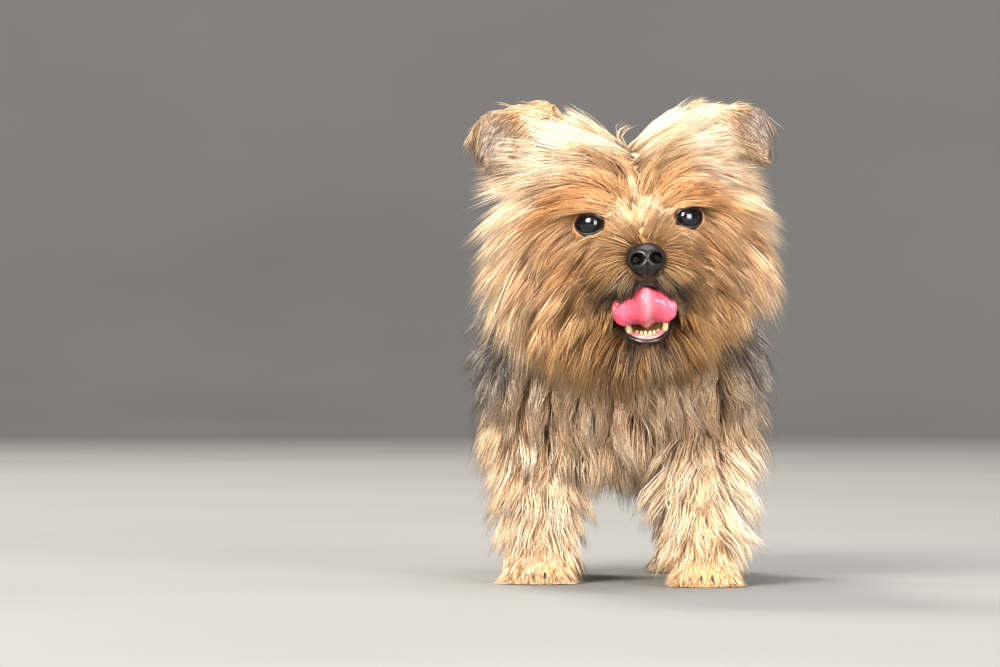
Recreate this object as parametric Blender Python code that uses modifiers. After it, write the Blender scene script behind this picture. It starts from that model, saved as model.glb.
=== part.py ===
"""A Yorkshire terrier in a steady walking stance, life size, as a still museum model.

The dog faces -Y, with +Z up and the floor at Z 0. Its own left is +X. Sizes in the tables below are in
millimetres, and a mesh is scaled to metres when it is made. The flesh is a set of tapered masses that blend
into one smooth form, parted by thin cuts. The coat is locks that are set on that form and follow its lie.
"""

import math
from typing import NamedTuple

import bmesh
import bpy
import numpy as np
from mathutils import Matrix, Vector

MM = 0.001
SEED = 11

# The gap at a planar cut, the clearance left round an earlier part, and how a part's faces are moved for it
GAP = 0.42
GROWTH = 0.34
STIFFNESS = 0.05
LONGEST_MOVE = 1.8

# The stance on the floor, and how the head is carried
HEAD_CENTRE = (4.5, -118.0, 208.5)
HEAD_ROLL_DEG = -4.0
HEAD_YAW_DEG = 3.5

# Features of the head, in the head's own frame: its origin is the middle of the skull, and it faces -Y
EYE_RADIUS = 9.3
EYE_PLACE = (26.5, -31.5, -5.5)
LID_DEPTH = 1.7
NOSE_PLACE = (0.0, -63.0, -27.5)
NOSE_SIZE = (10.6, 8.0, 8.8)
NOSTRIL_PLACE = (5.0, -69.0, -27.0)
NOSTRIL_RADIUS = 2.3
NOSTRIL_SEGMENTS = 8
SLIT_OFFSET = (2.6, 1.8, -1.2)
LIP_RADIUS = 1.7

# How softly the masses of flesh blend, and how finely they are meshed
BLEND = 3.0
NORMAL_STEP = 0.5
BALL_STEP = 0.5
BALL_EXTRA = 1.5
VOXEL = 4.0
BLOCK = 900.0
HEAD_FACES = 1900
BODY_FACES = 1500
SETTLING_STEPS = 8
LEVEL_DEG = 1.0
SLIVER = 0.004
THIN_NECKS = (0.002, 0.01, 0.03)

# Base colour and roughness of each finish
FINISHES = {
    "golden_coat": ((0.62, 0.36, 0.16), 0.7),
    "pale_coat": ((0.62, 0.45, 0.28), 0.7),
    "steel_coat": ((0.19, 0.18, 0.19), 0.65),
    "ear_coat": ((0.3, 0.2, 0.15), 0.75),
    "dark_eye": ((0.02, 0.012, 0.01), 0.08),
    "nose_leather": ((0.02, 0.018, 0.018), 0.35),
    "wet_tongue": ((0.75, 0.22, 0.26), 0.25),
}


class Mass(NamedTuple):
    """A tapered mass of flesh between two points, with an oval section where wide or tall isn't 1."""

    start: tuple
    end: tuple
    r_start: float
    r_end: float
    wide: float = 1.0
    tall: float = 1.0


class Lie(NamedTuple):
    """How the coat lies near one place: where it flows, how far it lifts, its length and how far it falls."""

    place: tuple
    flow: tuple
    lift: float
    length: float
    fall: float
    puff: float = 0.3


# The right half of each pair is mirrored from these. Head masses are in the head's own frame.
HEAD_MASSES = [
    Mass((0, 2, 0), (0, 6, 0), 34, 33, wide=1.06),
    Mass((8, -18, 9), (8, -22, 8), 22, 20),
    Mass((22, -6, -12), (19, -18, -16), 19, 17),
    Mass((26.5, -27.5, -5.5), (27, -20, -7), 12.2, 14),
    Mass((0, -26, -12), (0, -50, -20.5), 18, 12.5, wide=1.1),
    Mass((7, -43, -29), (5, -55, -33), 10, 8.5),
]
JAW_MASSES = [
    Mass((13, -4, -40), (8, -32, -64.5), 11, 6.0),
    Mass((0, -27, -66), (0, -38, -71), 6, 4.0, wide=2.2),
]
BODY_MASSES = [
    Mass((0, -42, 139), (0, 22, 143), 48, 47, wide=1.06, tall=1.08),
    Mass((0, 22, 146), (0, 92, 156), 45, 38, wide=1.05, tall=1.05),
    Mass((0, 92, 156), (0, 108, 153), 38, 36, wide=1.08),
    Mass((0, -72, 142), (0, -78, 134), 32, 28, wide=1.15),
    Mass((0, -40, 164), (4, -92, 203), 36, 30),
    Mass((0, -62, 160), (5, -98, 176), 30, 24),
]
PAIRED_MASSES = [
    Mass((34, -22, 176), (42, -68, 134), 19, 21),
    Mass((42, -68, 134), (44, -42, 104), 21, 19),
    Mass((32, 92, 150), (38, 82, 118), 31, 27),
]


class Leg(NamedTuple):
    """One leg as the joints that its bones pass, from the top down, with the radius of flesh at each."""

    joints: tuple
    radii: tuple
    paw: tuple


LEGS = {
    "foreleg_left": Leg(((44, -42, 104), (45, -72, 58), (46, -86, 30)), (17, 11.5, 10), (46, -94, 8.2)),
    "foreleg_right": Leg(((-44, -42, 104), (-46, -40, 56), (-47, -46, 30)), (17, 11.5, 10), (-47, -54, 8.2)),
    "hindleg_left": Leg(
        ((38, 82, 118), (42, 88, 88), (41, 126, 50), (41, 120, 26)), (25, 17, 9, 9), (41, 110, 8.2)
    ),
    "hindleg_right": Leg(
        ((-38, 82, 118), (-42, 64, 90), (-41, 92, 50), (-41, 84, 26)), (25, 17, 9, 9), (-41, 74, 8.2)
    ),
}
PAW_TOP = 23.0
PAW_RADIUS = 12.0
PAW_HEEL = (4.0, 3.0)

# The toes of a paw: how far each stands to the side and forward of its middle, and the radii along one
TOES = ((-9.6, 4.5), (-3.2, 8.0), (3.2, 8.0), (9.6, 4.5))
TOE_ROOT = (0.7, -3.0, 8.0)
TOE_RADIUS = 6.6
TOE_DROP = 4.5
CLAW_LENGTH = 7.0
CLAW_RADIUS = 1.5
CLAW_DROP = 4.0
CLAW_SUNK = 2.5
CLAW_RINGS = ((0.0, 1.0), (0.5, 0.85))
TAIL_MASSES = [
    Mass((0, 118, 170), (0, 148, 200), 13, 10),
    Mass((0, 148, 200), (0, 158, 236), 10, 6),
]

# Each ear's rib of stations, from its root on the skull to the tip of the folded flap: the middle, the
# direction of its breadth, half of the breadth, and the depth of its cup
EAR_STATIONS = [
    ((30, 8, 18), (0.45, 0.1, -0.9), 15.0, 4.0),
    ((40, 9, 32), (0.7, 0.05, -0.7), 18.0, 6.0),
    ((49, 7, 44), (0.9, 0.0, -0.42), 20.0, 6.0),
    ((55, 0, 51), (1.0, 0.0, -0.08), 21.0, 4.0),
    ((58, -8, 49), (1.0, 0.0, -0.05), 19.0, 3.0),
    ((63, -13, 42), (1.0, 0.0, -0.05), 14.5, 2.0),
    ((69, -16, 34), (1.0, 0.0, 0.0), 8.5, 1.0),
    ((74, -17, 26), (1.0, 0.0, 0.0), 2.4, 0.4),
]
EAR_RAISED = {"ear_left": (0.0, 0.0, 0.0), "ear_right": (5.0, 0.0, 6.0)}
EAR_THICKNESS = 2.6
EAR_STEPS = 6
EAR_FREE_FROM = 2

# The tongue's stations, from its root to the tip that curls up: the middle, half of the breadth, the
# thickness, the depth of the middle groove, and how far the two lobes droop
TONGUE_STATIONS = [
    ((0, -16, -50), 8.0, 6.0, 0.6, 0.0),
    ((0, -30, -56.5), 9.0, 6.0, 1.0, 0.0),
    ((0, -42, -60), 9.5, 5.6, 1.4, -0.5),
    ((0, -50, -58.5), 13.0, 5.6, 1.8, 3.0),
    ((0, -55.5, -53), 17.0, 5.5, 2.0, 5.0),
    ((0, -55.5, -46.5), 17.5, 5.0, 1.8, 4.0),
    ((0, -49.5, -42.5), 13.0, 4.0, 0.8, 2.0),
]
TONGUE_STEPS = 9

# Lower teeth: how far their arch runs to the side, back and up from its front, and the radius, height and
# share of the radius at the top of each kind
TOOTH_ARCH = (6.6, 4.5, 1.2)
TOOTH_FRONT = (0.0, -43.0, -68.5)
INCISORS = 6
INCISOR_SIZE = (1.15, 4.4, 0.75)
CANINE_PLACE = (9.6, -39.0, -67.0)
CANINE_SIZE = (1.7, 7.5, 0.3)
TOOTH_LEAN = (0.12, -0.25)
TOOTH_DEPTH = 0.75
TOOTH_SIDES = 6

# Lines of the lips, as the right half of each, and of the lids round an eye that looks along -Y
UPPER_LIP = [(18, -20, -40), (16, -34, -39), (12, -47, -41), (6, -57, -42), (0, -60, -39.5)]
LOWER_LIP = [(17.5, -18, -47), (15.5, -29, -58), (12, -38, -66), (6.5, -43, -70.5), (0, -44.5, -71.8)]
# The open mouth from its back to the front: how far forward, the height, and half of its breadth and height
MOUTH_ROOM = [(-15, -45.5, 17, 1.0), (-30, -50, 18, 6.0), (-44, -54.5, 21, 11.0), (-80, -57, 27, 13.0)]
ROOM_SIDES = 12
EYE_OPENING = (7.4, 5.3)
EYE_TURN_DEG = 16.0
OPENING_SIDES = 12
EYE_CLEARANCE = 14.0
MOUTH_CLEARANCE = ((-1.0, -90.0, -73.0), (25.0, -36.0, -34.0))

HEAD_LIES = [
    Lie((0, 6, 35), (0.8, 0.1, 0.2), 0.88, 38, 0.2, 0.4),
    Lie((8, -18, 33), (0.8, -0.15, 0.3), 0.85, 36, 0.2, 0.3),
    Lie((10, -32, 24), (0.85, -0.1, 0.2), 0.6, 32, 0.25),
    Lie((24, -32, 14), (0.9, 0.0, -0.1), 0.5, 38, 0.45),
    Lie((30, -14, 28), (0.9, -0.1, 0.3), 0.7, 38, 0.3, 0.2),
    Lie((3, -40, 4), (0.35, -0.1, 0.9), 0.3, 13, 0.0),
    Lie((4, -50, -8), (0.55, 0.05, 0.8), 0.3, 10, 0.0),
    Lie((4, -58, -16), (0.85, 0.1, 0.4), 0.3, 9, 0.1),
    Lie((15, -46, -15), (0.9, 0.05, -0.1), 0.55, 34, 0.6),
    Lie((12, -56, -27), (0.95, 0.1, -0.2), 0.5, 34, 0.6),
    Lie((20, -44, -27), (0.9, 0.0, -0.4), 0.7, 44, 0.7),
    Lie((38, -24, -14), (0.8, 0.1, -0.6), 0.82, 52, 0.65, 0.35),
    Lie((42, -8, -10), (0.4, 0.1, -0.9), 0.9, 54, 0.7, 0.45),
    Lie((40, 14, -8), (0.3, 0.3, -0.9), 0.9, 54, 0.7, 0.45),
    Lie((38, -6, 14), (0.5, 0.1, -0.8), 0.9, 52, 0.6, 0.45),
    Lie((36, 8, 22), (0.8, 0.1, -0.3), 0.9, 48, 0.6, 0.4),
    Lie((28, -12, -34), (0.5, 0.0, -0.9), 0.8, 54, 0.75, 0.4),
    Lie((14, -22, -50), (0.2, -0.2, -0.95), 0.6, 40, 0.75),
    Lie((8, -40, -77), (0.25, -0.1, -1.0), 0.55, 25, 0.7),
    Lie((12, 36, 12), (0.3, 0.4, -0.8), 0.55, 42, 0.5),
    Lie((12, 30, -22), (0.3, 0.3, -0.9), 0.5, 44, 0.7),
]
EAR_LIES = [
    Lie((42, 6, 50), (0.9, -0.1, 0.2), 0.4, 20, 0.1),
    Lie((66, 0, 52), (0.95, -0.1, 0.0), 0.35, 17, 0.1),
    Lie((82, -4, 46), (0.6, 0.0, -0.8), 0.4, 18, 0.5),
    Lie((74, -16, 30), (0.4, 0.0, -0.9), 0.35, 16, 0.5),
    Lie((50, -14, 38), (0.6, -0.1, -0.7), 0.3, 20, 0.5),
    Lie((46, 16, 30), (0.5, 0.3, -0.8), 0.5, 30, 0.6),
]
BODY_LIES = [
    Lie((0, -66, 196), (0.2, 0.6, 0.2), 0.4, 30, 0.2),
    Lie((0, -20, 190), (0.35, 0.9, 0.0), 0.38, 28, 0.2),
    Lie((0, 50, 192), (0.3, 0.95, 0.0), 0.38, 28, 0.15),
    Lie((0, 110, 190), (0.25, 0.95, -0.1), 0.38, 28, 0.3),
    Lie((34, 0, 182), (0.7, 0.5, -0.5), 0.48, 38, 0.5),
    Lie((32, 80, 180), (0.6, 0.6, -0.5), 0.48, 36, 0.5),
    Lie((54, 0, 140), (0.1, 0.3, -1.0), 0.55, 46, 0.65),
    Lie((50, 60, 145), (0.1, 0.4, -1.0), 0.55, 46, 0.65),
    Lie((38, 20, 98), (0.05, 0.3, -1.0), 0.5, 40, 0.8),
    Lie((0, 20, 92), (0.1, 0.6, -0.6), 0.4, 26, 0.6),
    Lie((56, -44, 160), (0.1, 0.2, -1.0), 0.5, 40, 0.75),
    Lie((60, -62, 128), (0.1, 0.0, -1.0), 0.55, 42, 0.7),
    Lie((30, -94, 140), (0.35, -0.1, -1.0), 0.55, 42, 0.7),
    Lie((0, -108, 136), (0.15, -0.1, -1.0), 0.5, 42, 0.75),
    Lie((10, -84, 100), (0.1, 0.0, -1.0), 0.5, 56, 0.9),
    Lie((10, -40, 88), (0.1, 0.3, -1.0), 0.45, 48, 0.9),
    Lie((30, -80, 176), (0.5, 0.1, -0.9), 0.45, 34, 0.5),
    Lie((60, 94, 130), (0.1, 0.4, -1.0), 0.5, 40, 0.7),
    Lie((20, 142, 150), (0.2, 0.3, -1.0), 0.5, 36, 0.8),
    Lie((54, -44, 96), (0.1, 0.2, -1.0), 0.65, 40, 0.65, 0.4),
    Lie((48, -60, 62), (0.1, 0.15, -1.0), 0.65, 34, 0.6, 0.4),
    Lie((48, -44, 38), (0.1, 0.1, -1.0), 0.62, 26, 0.65),
    Lie((48, -84, 38), (0.1, 0.1, -1.0), 0.62, 28, 0.65),
    Lie((46, -100, 14), (0.0, -0.5, -0.8), 0.35, 9, 0.6),
    Lie((46, -60, 14), (0.0, -0.5, -0.8), 0.35, 9, 0.6),
    Lie((48, 84, 84), (0.0, 0.4, -1.0), 0.55, 34, 0.7),
    Lie((44, 108, 56), (0.0, 0.2, -1.0), 0.5, 24, 0.75),
    Lie((44, 100, 30), (0.0, 0.1, -1.0), 0.5, 20, 0.75),
    Lie((42, 116, 12), (0.0, -0.5, -0.8), 0.35, 9, 0.6),
    Lie((42, 72, 12), (0.0, -0.5, -0.8), 0.35, 9, 0.6),
    Lie((0, 158, 176), (0.1, 0.5, -0.9), 0.5, 28, 0.6),
    Lie((0, 162, 210), (0.1, 0.3, 0.6), 0.5, 24, 0.2),
    Lie((0, 158, 236), (0.1, 0.2, 0.9), 0.4, 22, 0.0),
]
LIE_SHARPNESS = 3.0
LIE_REACH = 4.0
CORE_SHARE = 0.48

# Where the coat thins out to bare skin: the radius of each bare place, and how soon the coat is full again
MOUTH_PLACE = (0.0, -44.0, -50.0)
EYE_BARE = (EYE_RADIUS + 1.5, 12.0)
NOSE_BARE = (11.0, 16.0)
MOUTH_BARE = (20.0, 14.0)
SOLE_BARE = (4.0, 14.0)

# Locks: how far apart they stand, and the breadth, thickness and segments of one
LOCK_SPACING = {
    "head": 15.5, "lower_jaw": 16.0, "ear": 21.0, "neck": 25.0, "torso": 30.0, "tail": 22.0, "leg": 31.0,
}
LOCK_BREADTH = 0.54
LOCK_THICKNESS = 0.36
LOCK_RINGS = (0.0, 0.42, 0.78)
LOCK_WIDTHS = (0.85, 1.0, 0.7)
LOCK_SUNK = 3.0
LOCK_SHORTEST = 11.0
LOCK_VARIATION = 0.16
LOCK_SWING = 0.15
LOCK_WATCHED = (0.35, 0.6, 0.8, 1.0)
LOCKS_TRIED = 6000
LOCK_CLEAR_OF_SKIN = 0.25
LOCK_CLEAR_OF_CUTS = 1.5
LOWEST_TIP = 4.0


def head_matrix():
    """The head's own frame, in the frame of the dog."""
    turn = Matrix.Rotation(math.radians(HEAD_YAW_DEG), 4, "Z")
    turn @= Matrix.Rotation(math.radians(HEAD_ROLL_DEG), 4, "Y")
    return Matrix.Translation(Vector(HEAD_CENTRE)) @ turn


HEAD_FRAME = np.array(head_matrix())
HEAD_TURN = HEAD_FRAME[:3, :3]


def from_head(point):
    """A point of the head's frame in the dog's."""
    return HEAD_TURN @ np.array(point, float) + HEAD_FRAME[:3, 3]


def to_head(points):
    """Points of the dog's frame in the head's."""
    return (points - HEAD_FRAME[:3, 3]) @ HEAD_TURN


def mirrored(point):
    """The same place on the other side."""
    return (-point[0], point[1], point[2])


def both_sides(masses):
    """The masses, each with its mirror image unless it lies on the middle line."""
    made = []
    for mass in masses:
        made.append(mass)
        if mass.start[0] or mass.end[0]:
            made.append(mass._replace(start=mirrored(mass.start), end=mirrored(mass.end)))
    return made


def in_dog_frame(masses):
    """Head masses moved to the dog's frame."""
    return [m._replace(start=tuple(from_head(m.start)), end=tuple(from_head(m.end))) for m in masses]


def leg_masses(leg):
    """One leg's masses, with the paw and its four toes."""
    made = [
        Mass(a, b, ra, rb)
        for a, b, ra, rb in zip(leg.joints, leg.joints[1:], leg.radii, leg.radii[1:])
    ]
    x, y, z = leg.paw
    behind, above = PAW_HEEL
    made.append(Mass(leg.joints[-1], (x, y + behind, z + above), leg.radii[-1], PAW_RADIUS - 1))
    inset, drop, radius = TOE_ROOT
    for side, reach in TOES:
        tip = (x + side, y - reach, z - TOE_DROP)
        made.append(Mass((x + side * inset, y, z + drop), tip, radius, TOE_RADIUS))
    return made


MASSES = (
    in_dog_frame(both_sides(HEAD_MASSES + JAW_MASSES))
    + BODY_MASSES
    + both_sides(PAIRED_MASSES)
    + TAIL_MASSES
    + [mass for leg in LEGS.values() for mass in leg_masses(leg)]
)


def distance(points):
    """Distance in mm of each point from the skin, below 0 inside it."""
    total = np.zeros(len(points))
    for mass in MASSES:
        squeeze = np.array([1 / mass.wide, 1.0, 1 / mass.tall])
        offset = (points - np.array(mass.start)) * squeeze
        axis = (np.array(mass.end, float) - np.array(mass.start)) * squeeze
        along = np.clip(offset @ axis / max(axis @ axis, 1e-6), 0, 1)
        radius = mass.r_start + (mass.r_end - mass.r_start) * along
        d = np.linalg.norm(offset - along[:, None] * axis, axis=1) - radius
        total += np.exp(-np.clip(d, -60, 60) / BLEND)
    return -BLEND * np.log(total)


def normals_at(points):
    """The direction out of the skin at each point."""
    steps = NORMAL_STEP * np.eye(3)
    slopes = [distance(points + step) - distance(points - step) for step in steps]
    slopes = np.stack(slopes, axis=1)
    return slopes / np.linalg.norm(slopes, axis=1)[:, None]


def unit(vectors):
    """The vectors at length 1."""
    return vectors / np.maximum(np.linalg.norm(vectors, axis=-1, keepdims=True), 1e-9)


def on_head(points):
    """True where a point is forward of the cut between head and neck."""
    place, way = HEAD_CUT
    return (points - np.array(place)) @ np.array(way) > 0


def coat_by(lies, points, normals):
    """The coat's launch, its direction at the tip, and its length, in the frame of the lies."""
    side = np.where(points[:, 0] < 0, -1.0, 1.0)
    own = points.copy()
    own[:, 0] *= side
    apart = np.linalg.norm(own[:, None] - np.array([lie.place for lie in lies], float), axis=2)
    weights = 1 / (apart + LIE_REACH) ** LIE_SHARPNESS
    weights /= weights.sum(axis=1)[:, None]
    flow = weights @ unit(np.array([lie.flow for lie in lies], float))
    flow[:, 0] *= side
    lift = (weights @ np.array([lie.lift for lie in lies]))[:, None]
    length = weights @ np.array([float(lie.length) for lie in lies])
    fall = (weights @ np.array([lie.fall for lie in lies]))[:, None]
    puff = (weights @ np.array([lie.puff for lie in lies]))[:, None]
    along = unit(flow - (flow * normals).sum(axis=1)[:, None] * normals)
    launch = unit(lift * normals + np.sqrt(1 - lift**2) * along)
    down = np.array([0.0, 0.0, -1.0])
    hang = unit(along * (1 - fall) + down * fall + puff * normals)
    return launch, hang, length


def coat(points, normals):
    """The coat's launch, its direction at the tip, and its length at points of the skin."""
    launch, hang, length = coat_by(BODY_LIES, points, normals)
    head = on_head(points)
    if head.any():
        own = coat_by(HEAD_LIES, to_head(points[head]), normals[head] @ HEAD_TURN)
        launch[head] = own[0] @ HEAD_TURN.T
        hang[head] = own[1] @ HEAD_TURN.T
        length[head] = own[2]
    return launch, hang, length


def lock_line(root, launch, hang, length, share):
    """The point a share of the way along a lock that leaves along launch and ends along hang."""
    return root + length * ((share - share**2 / 2) * launch + share**2 / 2 * hang)


def core_depth(points, normals):
    """How deep the core of the coat is over the skin, under half of the way to the tips."""
    launch, hang, length = coat(points, normals)
    tips = lock_line(points, launch, hang, length[:, None], 1.0)
    rise = np.maximum(((tips - points) * normals).sum(axis=1), 0)
    depth = CORE_SHARE * rise
    near = clear_of_features(points)
    return depth * np.clip(near, 0, 1)


def clear_of_features(points):
    """0 at the eyes, nose, lips and soles, rising to 1 where the coat has its full depth."""
    own = to_head(points)
    own[:, 0] = np.abs(own[:, 0])
    near = [(points[:, 2] - SOLE_BARE[0]) / SOLE_BARE[1]]
    for place, bare in ((EYE_PLACE, EYE_BARE), (NOSE_PLACE, NOSE_BARE), (MOUTH_PLACE, MOUTH_BARE)):
        near.append((np.linalg.norm(own - np.array(place), axis=1) - bare[0]) / bare[1])
    return np.minimum.reduce(near)


# Cuts between the parts: a point on each, and the way to the part that is kept
HEAD_CUT = ((3, -86, 196), (0.0, -0.86, 0.5))
NECK_CUT = ((0, -55, 184), (0.0, -0.55, 0.83))
TAIL_CUT = ((0, 137, 190), (0.0, 0.7, 0.7))
JAW_CUT = (tuple(from_head((0, -18, -44.5))), tuple(HEAD_TURN @ np.array((0.0, 0.23, -0.97))))
JAW_BACK = (tuple(from_head((0, -10, -42))), tuple(HEAD_TURN @ np.array((0.0, -0.94, 0.34))))
CHEST_CUT = ((0, -62, 120), (0.0, -0.97, -0.25))


def reverse(cut):
    """The same cut, keeping its other side."""
    return cut[0], tuple(-c for c in cut[1])


def leg_cuts(name):
    """The planes that bound one leg, all looking into it."""
    side = 1 if name.endswith("left") else -1
    if name.startswith("foreleg"):
        return [
            ((side * 22, 0, 0), (side, 0, 0)),
            ((0, -4, 0), (0, -1, 0)),
            ((side * 44, -42, 106), (side * 0.35, 0, -0.94)),
        ]
    return [
        ((side * 16, 0, 0), (side, 0, 0)),
        ((0, 34, 0), (0, 1, 0)),
        ((side * 40, 86, 132), (side * 0.45, 0, -0.9)),
    ]


def new_object(name, mesh):
    """A mesh as an object in the dog's collection."""
    made = bpy.data.objects.new(name, mesh)
    DOG.objects.link(made)
    return made


def from_bmesh(name, built):
    """An object from a bmesh in millimetres, scaled to metres with its faces turned outwards."""
    bmesh.ops.recalc_face_normals(built, faces=built.faces)
    bmesh.ops.transform(built, matrix=Matrix.Diagonal((MM, MM, MM, 1)), verts=built.verts)
    mesh = bpy.data.meshes.new(name)
    built.to_mesh(mesh)
    built.free()
    return new_object(name, mesh)


def loft(name, rings, tip=None):
    """A closed body through rings of points in mm, capped at its start, and at its end by a cap or a tip."""
    built = bmesh.new()
    made = [[built.verts.new(Vector(p)) for p in ring] for ring in rings]
    count = len(made[0])
    for low, high in zip(made, made[1:]):
        for i in range(count):
            j = (i + 1) % count
            built.faces.new((low[i], low[j], high[j], high[i]))
    built.faces.new(list(reversed(made[0])))
    if tip is None:
        built.faces.new(made[-1])
    else:
        point = built.verts.new(Vector(tip))
        for i in range(count):
            built.faces.new((made[-1][i], made[-1][(i + 1) % count], point))
    bmesh.ops.triangulate(built, faces=built.faces)
    return from_bmesh(name, built)


def ball(name, centre, radii, turn=None, segments=20):
    """An oval ball in mm, turned by the 3 by 3 matrix turn."""
    built = bmesh.new()
    bmesh.ops.create_uvsphere(built, u_segments=segments, v_segments=segments // 2, radius=1.0)
    bmesh.ops.scale(built, vec=Vector(radii), verts=built.verts)
    if turn is not None:
        bmesh.ops.transform(built, matrix=Matrix(turn).to_4x4(), verts=built.verts)
    bmesh.ops.translate(built, vec=Vector(centre), verts=built.verts)
    return from_bmesh(name, built)


def tube(name, line, radius, sides=6):
    """A round tube in mm along a line of points, tapered at both ends, as a closed mesh."""
    curve = bpy.data.curves.new(name, "CURVE")
    curve.dimensions = "3D"
    curve.bevel_depth = radius * MM
    curve.bevel_resolution = max(0, sides // 2 - 2)
    curve.use_fill_caps = True
    spline = curve.splines.new("POLY")
    spline.points.add(len(line) - 1)
    for i, point in enumerate(line):
        spline.points[i].co = (*(Vector(point) * MM), 1.0)
        spline.points[i].radius = 0.6 if i in (0, len(line) - 1) else 1.0
    guide = new_object(name + "_line", curve)
    mesh = evaluated_mesh(guide)
    bpy.data.objects.remove(guide)
    built = bmesh.new()
    built.from_mesh(mesh)
    bmesh.ops.remove_doubles(built, verts=built.verts, dist=1e-5)
    bmesh.ops.recalc_face_normals(built, faces=built.faces)
    built.to_mesh(mesh)
    built.free()
    return new_object(name, mesh)


def evaluated_mesh(obj):
    """The object's mesh with its modifiers applied."""
    bpy.context.view_layer.update()
    graph = bpy.context.evaluated_depsgraph_get()
    return bpy.data.meshes.new_from_object(obj.evaluated_get(graph))


def apply_modifiers(obj):
    """Gives the object its mesh as modified, and clears the modifiers."""
    mesh = evaluated_mesh(obj)
    obj.modifiers.clear()
    obj.data = mesh


def combine(obj, operation, others):
    """One Boolean between an object and a collection of others, which are then removed."""
    if not others:
        return obj
    tools = bpy.data.collections.new(obj.name + "_tools")
    bpy.context.scene.collection.children.link(tools)
    for other in others:
        DOG.objects.unlink(other)
        tools.objects.link(other)
    boolean = obj.modifiers.new(operation.lower(), "BOOLEAN")
    boolean.operation = operation
    boolean.operand_type = "COLLECTION"
    boolean.collection = tools
    boolean.solver = "MANIFOLD"
    apply_modifiers(obj)
    for other in others:
        bpy.data.objects.remove(other)
    bpy.data.collections.remove(tools)
    return obj


def joined(name, pieces):
    """The pieces united in one object of that name."""
    first = pieces[0]
    combine(first, "UNION", pieces[1:])
    first.name = name
    return first


def copy_of(obj, grow=0.0):
    """A copy of an object, with each of its faces moved outwards by grow mm."""
    mesh = obj.data.copy()
    if grow:
        mesh.calc_loop_triangles()
        faces = np.array([t.vertices[:] for t in mesh.loop_triangles])
        points = np.array([v.co[:] for v in mesh.vertices])
        corners = points[faces]
        normals = unit(np.cross(corners[:, 1] - corners[:, 0], corners[:, 2] - corners[:, 0]))
        sums = np.zeros((len(points), 3))
        spread = np.tile(np.eye(3) * STIFFNESS, (len(points), 1, 1))
        for k in range(3):
            np.add.at(sums, faces[:, k], normals)
            np.add.at(spread, faces[:, k], normals[:, :, None] * normals[:, None, :])
        moves = np.linalg.solve(spread, sums[:, :, None])[:, :, 0]
        reach = np.linalg.norm(moves, axis=1)
        moves *= np.minimum(1, LONGEST_MOVE / np.maximum(reach, 1e-9))[:, None]
        mesh.vertices.foreach_set("co", (points + moves * grow * MM).ravel())
    return new_object(obj.name + "_copy", mesh)


def bodies_of(built):
    """The faces of a bmesh in closed surfaces that don't touch along a whole edge, the largest last."""
    left, bodies = set(built.faces), []
    while left:
        body, todo = set(), [left.pop()]
        while todo:
            face = todo.pop()
            body.add(face)
            for edge in face.edges:
                if len(edge.link_faces) != 2:
                    continue
                for other in edge.link_faces:
                    if other in left:
                        left.remove(other)
                        todo.append(other)
        bodies.append(body)
    return sorted(bodies, key=lambda body: sum(face.calc_area() for face in body))


def keep_largest(obj, neck=0.0):
    """Drops every closed surface of an object but its largest, also one held by a neck thinner than that."""
    built = bmesh.new()
    built.from_mesh(obj.data)
    if neck:
        bmesh.ops.remove_doubles(built, verts=built.verts, dist=neck * MM)
    loose = [face for body in bodies_of(built)[:-1] for face in body]
    if loose:
        bmesh.ops.delete(built, geom=loose, context="FACES")
    closed = all(len(edge.link_faces) == 2 for edge in built.edges)
    if closed and (loose or not neck):
        built.to_mesh(obj.data)
    built.free()
    return obj


def merge_level_faces(obj):
    """Joins neighbouring triangles that lie in one plane, and divides them again into fewer."""
    built = bmesh.new()
    built.from_mesh(obj.data)
    limit = math.radians(LEVEL_DEG)
    bmesh.ops.dissolve_limit(built, angle_limit=limit, verts=built.verts, edges=built.edges)
    bmesh.ops.triangulate(built, faces=built.faces)
    bmesh.ops.dissolve_degenerate(built, dist=SLIVER * MM, edges=built.edges)
    bmesh.ops.triangulate(built, faces=built.faces)
    built.to_mesh(obj.data)
    built.free()


def region(name, cuts):
    """A convex block bounded by the cuts, half a gap inside each."""
    built = bmesh.new()
    bmesh.ops.create_cube(built, size=BLOCK)
    for place, way in cuts:
        way = Vector(way).normalized()
        geometry = built.verts[:] + built.edges[:] + built.faces[:]
        done = bmesh.ops.bisect_plane(
            built, geom=geometry, plane_co=Vector(place) + way * GAP / 2, plane_no=way, clear_inner=True
        )
        edges = [g for g in done["geom_cut"] if isinstance(g, bmesh.types.BMEdge)]
        if edges:
            bmesh.ops.holes_fill(built, edges=edges)
    return from_bmesh(name, built)


def within(obj, name, cuts):
    """A copy of the object inside the cuts."""
    made = combine(copy_of(obj), "INTERSECT", [region(name + "_region", cuts)])
    made.name = name
    return keep_largest(made)


def without(obj, cuts):
    """The object with what lies inside the cuts removed."""
    opened = [(np.array(place) - np.array(way) / np.linalg.norm(way) * GAP, way) for place, way in cuts]
    return combine(obj, "DIFFERENCE", [region(obj.name + "_cut", opened)])


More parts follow.
